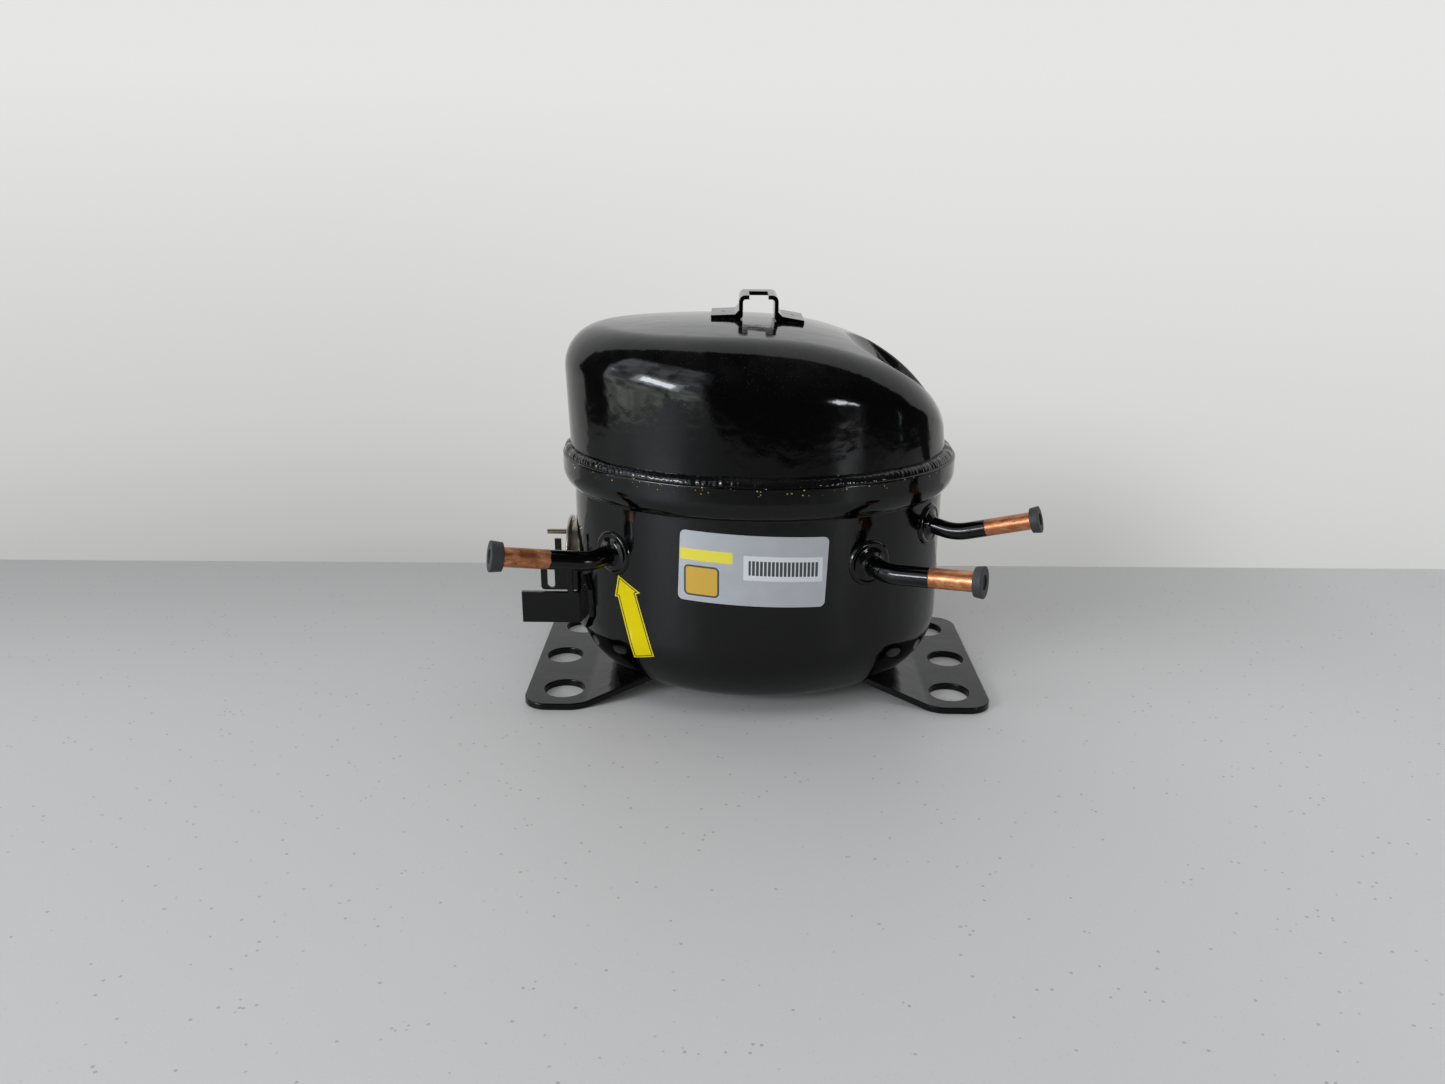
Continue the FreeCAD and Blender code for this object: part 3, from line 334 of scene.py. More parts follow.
def bell_arc(wall_r, bell_r, start_z, full_z):
    """Radius and turn of the shoulder that runs out of the wall and ends upright."""
    out, up = bell_r - wall_r, full_z - start_z
    r = (out ** 2 + up ** 2) / (2 * out)
    return r, math.degrees(math.asin(up / r))


def bowl_sections():
    """Outer and inner half sections of the bowl."""
    shoulder_r, turn = bell_arc(BOWL_A, BELL_A, CREASE_Z, BELL_FULL_Z)
    setback = CREASE_R * math.tan(math.radians(turn / 2))
    skip = math.degrees(setback / shoulder_r)
    outer = line((0.5 * MM, BOWL_FLOOR), (BOWL_A - BOWL_EDGE_R, BOWL_FLOOR), (0, -1), 8)
    outer += arc((BOWL_A - BOWL_EDGE_R, BOWL_FLOOR + BOWL_EDGE_R), BOWL_EDGE_R, -90, 0, 36)[1:]
    outer += line((BOWL_A, BOWL_FLOOR + BOWL_EDGE_R), (BOWL_A, CREASE_Z - setback), (1, 0), 58)[1:]
    outer += arc((BOWL_A + CREASE_R, CREASE_Z - setback), CREASE_R, 180, 180 - turn, 7, -1)[1:]
    outer += arc((BELL_A - shoulder_r, BELL_FULL_Z), shoulder_r, skip - turn, 0, 16)[1:]
    outer += line((BELL_A, BELL_FULL_Z), (BELL_A, BELL_TOP_Z - LIP_R), (1, 0), 6)[1:]
    outer += arc((BELL_A - LIP_R, BELL_TOP_Z - LIP_R), LIP_R, 0, 90, 7)[1:]
    wall = BOWL_A - BOWL_WALL
    edge_r = BOWL_EDGE_R - BOWL_WALL
    start, full = CREASE_Z + BOWL_WALL / 2, BELL_FULL_Z + BOWL_WALL / 2
    shoulder_r, turn = bell_arc(wall, MOUTH_A, start, full)
    floor = BOWL_FLOOR + BOWL_WALL
    inner = line((MOUTH_A, BELL_TOP_Z), (MOUTH_A, full), (-1, 0), 4)
    inner += arc((MOUTH_A - shoulder_r, full), shoulder_r, 0, -turn, 8, -1)[1:]
    inner += line((wall, start), (wall, BOWL_FLOOR + BOWL_EDGE_R), (-1, 0), 56)[1:]
    inner += arc((wall - edge_r, floor + edge_r), edge_r, 0, -90, 16, -1)[1:]
    inner += line((wall - edge_r, floor), (0.5 * MM, floor), (0, 1), 5)[1:]
    return outer, inner


def bowl():
    """Drawn bowl with its bell, open where the terminal cup sits."""
    cols = SHELL_COLS
    turn = turns(cols)
    outer, inner = bowl_sections()
    outer_squeeze = BOWL_B / BOWL_A
    inner_squeeze = (BOWL_B - BOWL_WALL) / (BOWL_A - BOWL_WALL)
    points, normals = [], []
    for section, squeeze in ((outer, outer_squeeze), (inner, inner_squeeze)):
        for r, z, out, up in section:
            points.append(oval(turn, r, squeeze * r, z))
            normals.append(oval(turn, out, out / squeeze, up))
    points = np.vstack(points)
    normals = unit(np.vstack(normals))
    from_axis = np.hypot(points[:, 1] - TERMINAL_Y, points[:, 2] - TERMINAL_Z)
    from_axis[points[:, 0] > 0] = 1.0
    near_edge = np.abs(from_axis - TERMINAL_CUT_R) < TERMINAL_CUT_BAND
    pull = TERMINAL_CUT_R / from_axis[near_edge]
    points[near_edge, 1] = TERMINAL_Y + (points[near_edge, 1] - TERMINAL_Y) * pull
    points[near_edge, 2] = TERMINAL_Z + (points[near_edge, 2] - TERMINAL_Z) * pull
    gone = from_axis < TERMINAL_CUT_R - TERMINAL_CUT_BAND
    faces = [face for face in ring_faces(len(outer) + len(inner), cols) if not any(gone[list(face)])]
    last = (len(outer) + len(inner) - 1) * cols
    faces.append(tuple(range(cols))[::-1])
    faces.append(tuple(range(last, last + cols)))
    kept = np.flatnonzero(~gone)
    renumber = np.cumsum(~gone) - 1
    faces = [tuple(int(renumber[i]) for i in face) for face in faces]
    piece = new_object("bowl", points[kept], faces, normals[kept])
    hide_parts("lower_shell")
    return carried(piece, "shell", paint)


# ==== weld
def bead():
    """Machine weld from the bell's lip up to the dome's wall, rippled and spattered."""
    cols, rows = 1600, 26
    turn = turns(cols)
    slow = even_noise(3, cols, (5, 9, 14, 23, 31))
    ripple = even_noise(4, cols, (150, 171, 190, 214, 239))
    fine = even_noise(6, cols, (301, 337, 371, 407))
    toe = even_noise(5, cols, (37, 52, 71, 96, 118, 160, 233))
    squeeze = BOWL_B / BOWL_A
    rise = (BEAD_TOP_Z - DOME_SKIRT_Z) / (DOME_CROWN_Z - DOME_SKIRT_Z)
    drift = DOME_LEAN * rise
    narrowing = DOME_DRAFT * rise + 0.35 * MM
    low_a, low_z = BELL_A - 1.0 * MM, BELL_TOP_Z - 0.25 * MM
    points = []

    def ring(t, out, z):
        a = low_a + (DOME_A - narrowing - low_a) * t + out
        b = low_a * squeeze + (DOME_B - narrowing - low_a * squeeze) * t + out
        points.append(oval(turn, a, b, z) + (drift * t, 0, 0))

    for t in np.linspace(0, 1, rows):
        swell = math.sin(math.pi * t) ** 0.8
        out = swell * (0.85 + 0.16 * slow + 0.10 * ripple + 0.05 * fine) + (1 - t) ** 2 * 0.22 * toe
        up = swell * (0.85 + 0.12 * slow + 0.08 * ripple + 0.04 * fine) + t ** 2 * (0.30 * toe + 0.2 * slow)
        ring(t, out * MM, low_z + (BEAD_TOP_Z - low_z) * t + up * MM)
    for t, depth, z in ((1, 2.1 * MM, BEAD_TOP_Z - 1.0 * MM), (0, 5.2 * MM, low_z)):
        ring(t, -depth, z)
    faces = ring_faces(rows + 2, cols)
    last = (rows + 1) * cols
    for col in range(cols):
        after = (col + 1) % cols
        faces.append((last + col, last + after, after, col))
    piece = new_object("weld_bead", np.vstack(points), faces)
    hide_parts("seam_weld")
    return carried(piece, "shell", weld_paint)


# ==== tubes
def tube_path(route, bend_r, spacing=0.8 * MM):
    """Points along two straight runs joined by a tangent arc."""
    start, corner, end = (Vector(p) * MM for p in route)
    before, after = (start - corner).normalized(), (end - corner).normalized()
    half = before.angle(after) / 2
    run = bend_r / math.tan(half)
    first, last = corner + before * run, corner + after * run
    centre = corner + (before + after).normalized() * (bend_r / math.sin(half))
    swing = math.pi - 2 * half
    axis = (first - centre).cross(last - centre).normalized()
    path = [start.lerp(first, t) for t in np.linspace(0, 1, max(2, int((first - start).length / spacing)))]
    for t in np.linspace(0, swing, max(6, int(bend_r * swing / spacing)))[1:]:
        path.append(centre + Matrix.Rotation(t, 3, axis) @ (first - centre))
    path += [last.lerp(end, t) for t in np.linspace(0, 1, max(2, int((end - last).length / spacing)))[1:]]
    return path


def swept_rings(path, radii, cols):
    """Rings of points that follow a path, one radius each; a radius may repeat a path point."""
    side = (path[1] - path[0]).cross(Z).normalized()
    rings = []
    for i, (here, r) in enumerate(zip(path, radii)):
        ahead = path[min(i + 1, len(path) - 1)] - path[max(i - 1, 0)]
        if ahead.length > 1e-9:
            along = ahead.normalized()
        side = (side - along * side.dot(along)).normalized()
        rings += [here + spoke * r for spoke in spokes(side, along.cross(side), cols)]
    return rings


def stub(name, node, route, r, bend_r, copper):
    """Bent copper stub with a bore that shows when its cap is off."""
    cols = 40
    path = tube_path(route, bend_r)
    away = (path[-1] - path[-2]).normalized()
    lip = 0.18 * MM
    bore = [path[-1] - away * depth for depth in np.linspace(0, BORE_DEPTH, 10)]
    line_points = path[:-1] + [path[-1] - away * lip, path[-1] - away * lip * 0.3, path[-1], path[-1]] + bore
    radii = [r] * len(path) + [r - lip * 0.3, r - lip, r - TUBE_WALL + lip] + [r - TUBE_WALL] * len(bore)
    points = swept_rings(line_points, radii, cols)
    faces = ring_faces(len(line_points), cols)
    faces.append(tuple(range(cols))[::-1])
    faces.append(tuple(range(len(points) - cols, len(points))))
    piece = new_object(name, points, faces)
    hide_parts(node)
    return carried(piece, "shell", copper)


def wall_distance(start, way):
    """How far a line from inside runs to the bowl's upright wall."""
    a = (way.x / BOWL_A) ** 2 + (way.y / BOWL_B) ** 2
    b = start.x * way.x / BOWL_A ** 2 + start.y * way.y / BOWL_B ** 2
    c = (start.x / BOWL_A) ** 2 + (start.y / BOWL_B) ** 2 - 1
    return (math.sqrt(b * b - a * c) - b) / a


def collar(name, node, route, r, outer_r):
    """Ringed weld boss under the paint: a fillet at the tube, a raised ring, a groove and a flange."""
    start = Vector(route[0]) * MM
    way = (Vector(route[1]) * MM - start).normalized()
    side = way.cross(Z).normalized()
    rim = outer_r + 0.35 * MM
    ledge = [                    # distance from the tube's axis, and height over the wall in mm
        (r - 0.3 * MM, 3.0), (r + 0.4 * MM, 2.25), (r + 1.2 * MM, 1.55),
        (outer_r * 0.66, 1.2), (outer_r * 0.76, 1.0), (outer_r * 0.86, 1.2), (outer_r * 0.94, 1.1),
        (outer_r, 0.5), (rim, -0.35),
    ]
    heights = Spline([(radius, height * MM) for radius, height in ledge])
    rows, cols = 60, 112
    points = []
    for radius in np.linspace(ledge[0][0], rim, rows):
        height = float(heights.at(np.array(radius))[0])
        for spoke in spokes(side, way.cross(side), cols):
            on = start + spoke * radius
            points.append(on + way * (wall_distance(on, way) + height))
    faces = [face[::-1] for face in ring_faces(rows, cols)]
    piece = new_object(name, points, faces)
    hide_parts(node)
    return carried(piece, "shell", paint)


def on_bowl(x, z, forward):
    """Point at x and z, that far in front of the bowl's outside."""
    drop = max(BOWL_FLOOR + BOWL_EDGE_R - z, 0)
    r = BOWL_A - BOWL_EDGE_R + math.sqrt(BOWL_EDGE_R ** 2 - drop ** 2)
    return Vector((x, -BOWL_B / BOWL_A * math.sqrt(r * r - x * x) - forward, z))


def arrow_outline():
    """Dark printed line, a little inside the yellow sticker's edge."""
    corners = [Vector(corner) * MM for corner in ARROW_CORNERS]
    points = []
    for i, here in enumerate(corners):
        before = (here - corners[i - 1]).normalized()
        after = (corners[(i + 1) % len(corners)] - here).normalized()
        inward = Vector((before.y + after.y, -before.x - after.x)) / (1 + before.dot(after))
        points.append((here + inward * OUTLINE_NEAR, here + inward * OUTLINE_FAR))
    rows, steps = [], 24
    for (outer, inner), (next_outer, next_inner) in zip(points, points[1:] + points[:1]):
        for k in range(steps):
            rows.append((outer.lerp(next_outer, k / steps), inner.lerp(next_inner, k / steps)))
    mesh_points = [on_bowl(p.x, p.y, STICKER_T + 0.02 * MM) for row in rows for p in row]
    count = len(rows)
    faces = [(2 * i, 2 * i + 1, 2 * ((i + 1) % count) + 1, 2 * ((i + 1) % count)) for i in range(count)]
    piece = new_object("arrow_outline", mesh_points, faces)
    return carried(piece, "shell", FINISHES["print_dark"])


# ==== shader groups
class Tree:
    """Short ways to lay nodes; most of them return the socket that carries the result."""

    def __init__(self, tree):
        self.tree = tree

    def put(self, kind, inputs=(), **settings):
        node = self.tree.nodes.new(kind)
        for name, value in settings.items():
            setattr(node, name, value)
        for key, value in dict(inputs).items():
            self.feed(node.inputs[key], value)
        return node

    def feed(self, socket, value):
        """Links a socket, or sets a number, a vector or an opaque colour."""
        if isinstance(value, bpy.types.NodeSocket):
            self.tree.links.new(value, socket)
        elif socket.type == "RGBA":
            socket.default_value = (*value, 1)
        else:
            socket.default_value = value

    def math(self, operation, a, b=0.0, clamp=False):
        return self.put("ShaderNodeMath", {0: a, 1: b}, operation=operation, use_clamp=clamp).outputs[0]

    def times(self, a, b, clamp=False):
        return self.math("MULTIPLY", a, b, clamp)

    def plus(self, a, b):
        return self.math("ADD", a, b)

    def minus(self, a, b):
        return self.math("SUBTRACT", a, b)

    def larger(self, a, b):
        return self.math("MAXIMUM", a, b)

    def size_of(self, value):
        return self.math("ABSOLUTE", value)

    def dot(self, a, b):
        return self.put("ShaderNodeVectorMath", {0: a, 1: b}, operation="DOT_PRODUCT").outputs["Value"]

    def apart(self, a, b):
        return self.put("ShaderNodeVectorMath", {0: a, 1: b}, operation="SUBTRACT").outputs[0]

    def parts(self, vector):
        return self.put("ShaderNodeSeparateXYZ", {0: vector}).outputs

    def fade(self, value, low, high, to_low=0.0, to_high=1.0):
        """Smooth step of a value."""
        inputs = {0: value, 1: low, 2: high, 3: to_low, 4: to_high}
        return self.put("ShaderNodeMapRange", inputs, interpolation_type="SMOOTHSTEP").outputs[0]

    def mix(self, mask, a, b, how="MIX"):
        node = self.put("ShaderNodeMix", data_type="RGBA", blend_type=how, clamp_factor=False)
        for socket, value in zip((node.inputs[0], node.inputs[6], node.inputs[7]), (mask, a, b)):
            self.feed(socket, value)
        return node.outputs[2]

    def coats(self, colour, *layers):
        """A colour under layers of (mask, tone), the last on top."""
        for mask, tone in layers:
            colour = self.mix(mask, colour, tone)
        return colour

    def blend(self, mask, a, b):
        node = self.put("ShaderNodeMix", data_type="FLOAT")
        for socket, value in zip((node.inputs[0], node.inputs[2], node.inputs[3]), (mask, a, b)):
            self.feed(socket, value)
        return node.outputs[0]

    def noise(self, scale, detail=2.0, roughness=0.5, place=None):
        """Cloudy values, over the object itself unless another place is given."""
        place = place or self.place()
        inputs = {"Vector": place, "Scale": scale, "Detail": detail, "Roughness": roughness}
        return self.put("ShaderNodeTexNoise", inputs).outputs[0]

    def cells(self, scale):
        return self.put("ShaderNodeTexVoronoi", {"Vector": self.place(), "Scale": scale}).outputs["Distance"]

    def place(self):
        return self.put("ShaderNodeTexCoord").outputs["Object"]

    def spun(self, rotation, scale):
        """The place, scaled along its own axes and then turned."""
        inputs = {"Vector": self.place(), "Rotation": rotation, "Scale": scale}
        return self.put("ShaderNodeMapping", inputs).outputs[0]

    def ramp(self, value, low, high, stops):
        """Grey that follows (value, brightness) stops between low and high."""
        node = self.put("ShaderNodeValToRGB")
        self.feed(node.inputs[0], self.put("ShaderNodeMapRange", {0: value, 1: low, 2: high}).outputs[0])
        while len(node.color_ramp.elements) < len(stops):
            node.color_ramp.elements.new(0.5)
        for element, (at, grey) in zip(node.color_ramp.elements, stops):
            element.position = (at - low) / (high - low)
            element.color = (grey, grey, grey, 1)
        return node.outputs[0]

    def use(self, group, **inputs):
        node = self.tree.nodes.new("ShaderNodeGroup")
        node.node_tree = group
        for name, value in inputs.items():
            self.feed(node.inputs[name], value)
        return node.outputs


def group(name, build, **inputs):
    """Node group; build gets its inputs, floats or vectors, and returns its outputs, all floats."""
    tree = bpy.data.node_groups.new(name, "ShaderNodeTree")
    for title, default in inputs.items():
        kind = "NodeSocketVector" if isinstance(default, tuple) else "NodeSocketFloat"
        tree.interface.new_socket(title, in_out="INPUT", socket_type=kind).default_value = default
    given = tree.nodes.new("NodeGroupInput").outputs
    results = build(Tree(tree), *[given[title] for title in inputs])
    for title in results:
        tree.interface.new_socket(title, in_out="OUTPUT", socket_type="NodeSocketFloat")
    out = tree.nodes.new("NodeGroupOutput")
    for title, socket in results.items():
        tree.links.new(socket, out.inputs[title])
    return tree


def build_grain(lay, scale, fine_share):
    """Fine unevenness of a surface: slow waves and a finer skin."""
    slow = lay.noise(scale)
    fine = lay.noise(lay.times(scale, 5.0), 3.0, 0.6)
    return {"Height": lay.plus(slow, lay.times(fine, fine_share)), "Slow": slow, "Fine": fine}


def build_wear(lay, width, scale, amount):
    """Mask of outer edges, broken up by noise."""
    rounded = lay.put("ShaderNodeBevel", {"Radius": width}, samples=4).outputs[0]
    flat = lay.put("ShaderNodeNewGeometry").outputs["Normal"]
    bent = lay.minus(1.0, lay.dot(rounded, flat))
    broken = lay.noise(scale, 4.0, 0.65)
    worn = lay.times(lay.fade(bent, 0.01, 0.12), lay.fade(broken, 0.42, 0.62))
    return {"Mask": lay.times(worn, amount, clamp=True)}


def build_dust(lay, scale, amount):
    """Dust that lies on faces that look up, in patches, with single specks."""
    upward = lay.parts(lay.put("ShaderNodeNewGeometry").outputs["Normal"])[2]
    patches = lay.fade(lay.noise(scale, 5.0, 0.6), 0.35, 0.75)
    specks = lay.fade(lay.cells(lay.times(scale, 16.0)), 0.16, 0.08)
    film = lay.times(lay.fade(upward, 0.1, 0.95), patches)
    lying = lay.times(specks, lay.fade(upward, -0.4, 0.9))
    total = lay.plus(lay.times(film, 0.5), lying)
    return {"Mask": lay.times(total, amount, clamp=True)}


def build_scratches(lay, scale, amount):
    """Thin marks in many directions, short and faint."""
    total = 0.0
    for turn, stretch in ((0.4, 26.0), (1.7, 34.0), (2.7, 30.0)):
        spun = lay.spun((turn, turn * 0.7, turn * 1.3), (1.0, stretch, 1.0))
        total = lay.plus(total, lay.fade(lay.noise(scale, 1.0, place=spun), 0.735, 0.76))
    where = lay.fade(lay.noise(40.0), 0.5, 0.65)
    return {"Mask": lay.times(lay.times(total, where), amount, clamp=True)}


def build_specks(lay, scale, size):
    """Sparse round specks."""
    spot = lay.fade(lay.cells(scale), size, lay.times(size, 0.6))
    chosen = lay.fade(lay.noise(lay.times(scale, 0.45), 1.0), 0.52, 0.58)
    return {"Mask": lay.times(spot, chosen)}


def build_paint_edge(lay, origin, axis, ragged):
    """1 on the far side of a plane across a tube, with an uneven border."""
    from_edge = lay.dot(lay.apart(lay.place(), origin), axis)
    uneven = lay.minus(lay.noise(190.0, 4.0, 0.62), 0.5)
    from_edge = lay.plus(from_edge, lay.times(uneven, ragged))
    near = lay.fade(lay.size_of(from_edge), 4.0 * MM, 0.0)
    return {"Mask": lay.fade(from_edge, -0.2 * MM, 0.2 * MM), "Near": near}


def build_panel(lay, centre, width, height, corner, slant):
    """Slanted rectangle with round corners on the front; width and height are halves."""
    parts = lay.parts(lay.apart(lay.place(), centre))
    across = parts[0]
    up = lay.plus(parts[2], lay.times(across, slant))
    beyond = []
    for half, place in ((width, across), (height, up)):
        beyond.append(lay.minus(lay.size_of(place), lay.minus(half, corner)))
    outside = [lay.larger(value, 0.0) for value in beyond]
    pair = lay.put("ShaderNodeCombineXYZ", {0: outside[0], 1: outside[1]}).outputs[0]
    far = lay.put("ShaderNodeVectorMath", {0: pair}, operation="LENGTH").outputs["Value"]
    inner = lay.math("MINIMUM", lay.larger(beyond[0], beyond[1]), 0.0)
    distance = lay.minus(lay.plus(far, inner), corner)
    return {"Mask": lay.fade(distance, 0.06 * MM, -0.06 * MM), "Distance": distance, "Across": across}


GRAIN = group("surface_grain", build_grain, Scale=60.0, Fine=0.3)
WEAR = group("edge_wear", build_wear, Width=0.6 * MM, Scale=300.0, Amount=1.0)
DUST = group("settled_dust", build_dust, Scale=45.0, Amount=0.3)
SCRATCHES = group("fine_scratches", build_scratches, Scale=50.0, Amount=0.5)
SPECKS = group("round_specks", build_specks, Scale=300.0, Size=0.2)
PAINT_EDGE = group("paint_edge", build_paint_edge, Origin=(0, 0, 0), Axis=(1, 0, 0), Ragged=1.0 * MM)
PANEL = group("printed_panel", build_panel, Centre=(0, 0, 0), Width=10 * MM, Height=10 * MM,
              Corner=1.0 * MM, Slant=0.0)


# ==== materials
def finish(name, build):
    """A new material; build lays its nodes and returns what feeds the shader."""
    material = bpy.data.materials.new(name)
    material.use_nodes = True
    tree = material.node_tree
    tree.nodes.clear()
    lay = Tree(tree)
    shader = tree.nodes.new("ShaderNodeBsdfPrincipled")
    out = tree.nodes.new("ShaderNodeOutputMaterial")
    tree.links.new(shader.outputs[0], out.inputs[0])
    for socket, value in build(lay).items():
        lay.feed(shader.inputs[socket], value)
    material.diffuse_color = (0.5, 0.5, 0.5, 1)
    return material


def surface(lay, colour, roughness, height, depth, **more):
    """What feeds the shader; depth in metres is how far a height of 1 stands up."""
    normal = lay.put("ShaderNodeBump", {"Height": height, "Distance": depth, "Strength": 1.0}).outputs[0]
    return {"Base Color": colour, "Roughness": roughness, "Normal": normal, **more}


ENAMEL_IOR = 1.39
FOOT_IOR = 1.32
STICKER_IOR = 1.2
ENAMEL_WAVES = 0.22 * MM
WELD_WAVES = 1.1 * MM
SPATTER_Z = BELL_TOP_Z - 1.6 * MM
SHEET_PITCH = 0.65 * MM
THIN_PAINT = (0.05, 0.05, 0.052)
PAINT_DUST = (0.42, 0.40, 0.37)
# gold of the weld drops under the lip: a painted glint
SPATTER_GLINT_GOLD = (0.62, 0.47, 0.20)


def black_enamel(lay, waviness, base=0.0008, spatter_glint=0.0, ior=ENAMEL_IOR):
    """Deep gloss enamel with orange peel, fine marks, dust, thin spots on edges and spattered weld drops,
    whose burnt-gold colour is a painted glint.
    """
    grain = lay.use(GRAIN, Scale=75.0, Fine=0.10)
    wear = lay.use(WEAR, Amount=0.45)["Mask"]
    dust = lay.use(DUST, Amount=0.05)["Mask"]
    scratches = lay.use(SCRATCHES, Amount=0.35)["Mask"]
    deep, pale = (base * 0.8, base * 0.86, base * 0.95), (base * 1.25, base * 1.3, base * 1.4)
    height = lay.parts(lay.place())[2]
    under_lip = lay.fade(lay.size_of(lay.minus(height, SPATTER_Z)), 2.2 * MM, 1.0 * MM)
    # weld drops in a band under the lip: their bumps are real, their gold colour is a painted glint
    spatter_and_glints = lay.times(lay.use(SPECKS, Scale=700.0, Size=0.27)["Mask"], under_lip)
    colour = lay.coats(lay.mix(grain["Slow"], deep, pale), (wear, THIN_PAINT), (dust, PAINT_DUST),
                       (lay.times(spatter_and_glints, spatter_glint), SPATTER_GLINT_GOLD))
    rough = lay.blend(grain["Fine"], 0.055, 0.12)
    rough = lay.blend(lay.larger(wear, scratches), rough, 0.4)
    rough = lay.blend(dust, rough, 0.75)
    raised = lay.plus(grain["Height"], lay.times(spatter_and_glints, 1.5))
    return surface(lay, colour, rough, raised, waviness, IOR=ior)


def copper_stub(origin, axis, ragged, aged):
    """Drawn copper with oxide streaks, painted black up to a border; aged is how mottled it is."""
    def build(lay):
        edge = lay.use(PAINT_EDGE, Origin=origin, Axis=axis, Ragged=ragged)
        lengthwise = Vector(axis).to_track_quat("X", "Z").to_euler()
        stretched = lay.spun([-a for a in lengthwise], (0.09, 1.0, 1.0))
        streaks = lay.noise(900.0, 4.0, 0.6, stretched)
        blotches = lay.noise(95.0, 4.0, 0.6)
        specks = lay.use(SPECKS, Scale=620.0, Size=0.22)["Mask"]
        bright = lay.mix(lay.fade(streaks, 0.32, 0.68), (0.40, 0.13, 0.050), (0.66, 0.30, 0.15))
        browned = lay.times(lay.fade(blotches, 0.40, 0.62), aged)
        spots = lay.fade(lay.noise(420.0, 4.0, 0.7), 0.60, 0.68)
        tarnished = lay.coats(
            bright, (browned, (0.27, 0.095, 0.040)), (lay.times(spots, aged), (0.06, 0.025, 0.015)),
            (specks, (0.10, 0.05, 0.03)), (lay.times(edge["Near"], 0.35), (0.20, 0.08, 0.05)))
        grain = lay.use(GRAIN, Scale=75.0, Fine=0.10)
        colour = lay.mix(edge["Mask"], (0.001, 0.001, 0.0012), tarnished)
        metal = lay.times(edge["Mask"], lay.blend(specks, 0.7, 0.2))
        bare_rough = lay.blend(streaks, 0.20 + 0.12 * aged, 0.34 + 0.14 * aged)
        rough = lay.blend(edge["Mask"], lay.blend(grain["Fine"], 0.06, 0.13), bare_rough)
        height = lay.plus(lay.times(edge["Mask"], -0.25), lay.times(streaks, 0.10))
        return surface(lay, colour, rough, height, 0.0003, Metallic=metal, IOR=ENAMEL_IOR)
    return build


def cast_or_machined(light, dark, rough, metallic, scale, depth, streak=1.0):
    """Metal of the inner pieces: tone, grain, wear and oil-dark patches."""
    def build(lay):
        place = lay.spun((0, 0, 0), (1.0, 1.0, streak))
        tone = lay.noise(scale, 4.0, 0.6, place)
        patches = lay.fade(lay.noise(35.0, 3.0), 0.4, 0.7)
        wear = lay.use(WEAR, Amount=0.7)["Mask"]
        scratches = lay.use(SCRATCHES, Amount=0.5)["Mask"]
        oily = [c * 0.55 for c in dark]
        bright = [min(1.0, c * 1.35) for c in light]
        colour = lay.coats(lay.mix(tone, dark, light), (lay.times(patches, 0.35), oily),
                           (lay.larger(wear, scratches), bright))
        roughness = lay.blend(patches, lay.blend(tone, rough * 0.8, rough * 1.2), rough * 0.7)
        return surface(lay, colour, roughness, tone, depth, Metallic=metallic)
    return build


def moulded(light, dark, rough, scale=220.0, depth=0.00008):
    """Rubber, fibre and moulded plastic: fine grain, dust in it and paler edges."""
    def build(lay):
        grain = lay.use(GRAIN, Scale=scale, Fine=0.5)
        wear = lay.use(WEAR, Amount=0.6, Width=0.0004)["Mask"]
        dust = lay.use(DUST, Amount=0.18, Scale=80.0)["Mask"]
        rubbed = [min(1.0, c * 1.6 + 0.01) for c in light]
        colour = lay.mix(grain["Slow"], dark, light)
        colour = lay.coats(colour, (wear, rubbed), (dust, (0.45, 0.43, 0.40)))
        roughness = lay.blend(grain["Fine"], rough * 0.85, min(1.0, rough * 1.15))
        return surface(lay, colour, roughness, grain["Height"], depth)
    return build


def winding_look(lay):
    """Bundle of varnished round wire."""
    parts = lay.parts(lay.place())
    across = lay.math("SQRT", lay.plus(lay.math("POWER", parts[0], 2.0), lay.math("POWER", parts[1], 2.0)))
    lanes = lay.plus(lay.times(across, 7000.0), lay.times(parts[2], 6000.0))
    lanes = lay.plus(lanes, lay.times(lay.noise(60.0), 14.0))
    wire = lay.size_of(lay.math("SINE", lanes))
    tone = lay.noise(130.0, 3.0)
    colour = lay.mix(tone, (0.22, 0.062, 0.022), (0.46, 0.17, 0.06))
    # the near-black in the grooves between the wires is painted shade
    colour = lay.coats(colour, (lay.fade(wire, 0.35, 0.0), (0.03, 0.01, 0.006)))
    return surface(lay, colour, lay.blend(tone, 0.25, 0.42), wire, 0.0003, Metallic=0.55)


def lamination_look(lay):
    """Edges of stacked sheets, a dark line between each two."""
    parts = lay.parts(lay.place())
    sheet = lay.size_of(lay.math("SINE", lay.times(parts[2], math.pi / SHEET_PITCH)))
    tone = lay.noise(90.0, 3.0)
    rust = lay.fade(lay.noise(45.0, 5.0, 0.65), 0.58, 0.75)
    colour = lay.mix(tone, (0.10, 0.105, 0.115), (0.22, 0.225, 0.235))
    between = lay.fade(sheet, 0.25, 0.0)
    colour = lay.coats(colour, (between, (0.03, 0.03, 0.033)), (lay.times(rust, 0.4), (0.16, 0.07, 0.035)))
    return surface(lay, colour, lay.blend(tone, 0.35, 0.55), sheet, 0.0001, Metallic=0.8)


def bead_glass_look(lay):
    swirl = lay.noise(400.0, 3.0)
    colour = lay.mix(swirl, (0.10, 0.16, 0.14), (0.26, 0.36, 0.31))
    return surface(lay, colour, lay.blend(swirl, 0.08, 0.2), swirl, 0.0001)


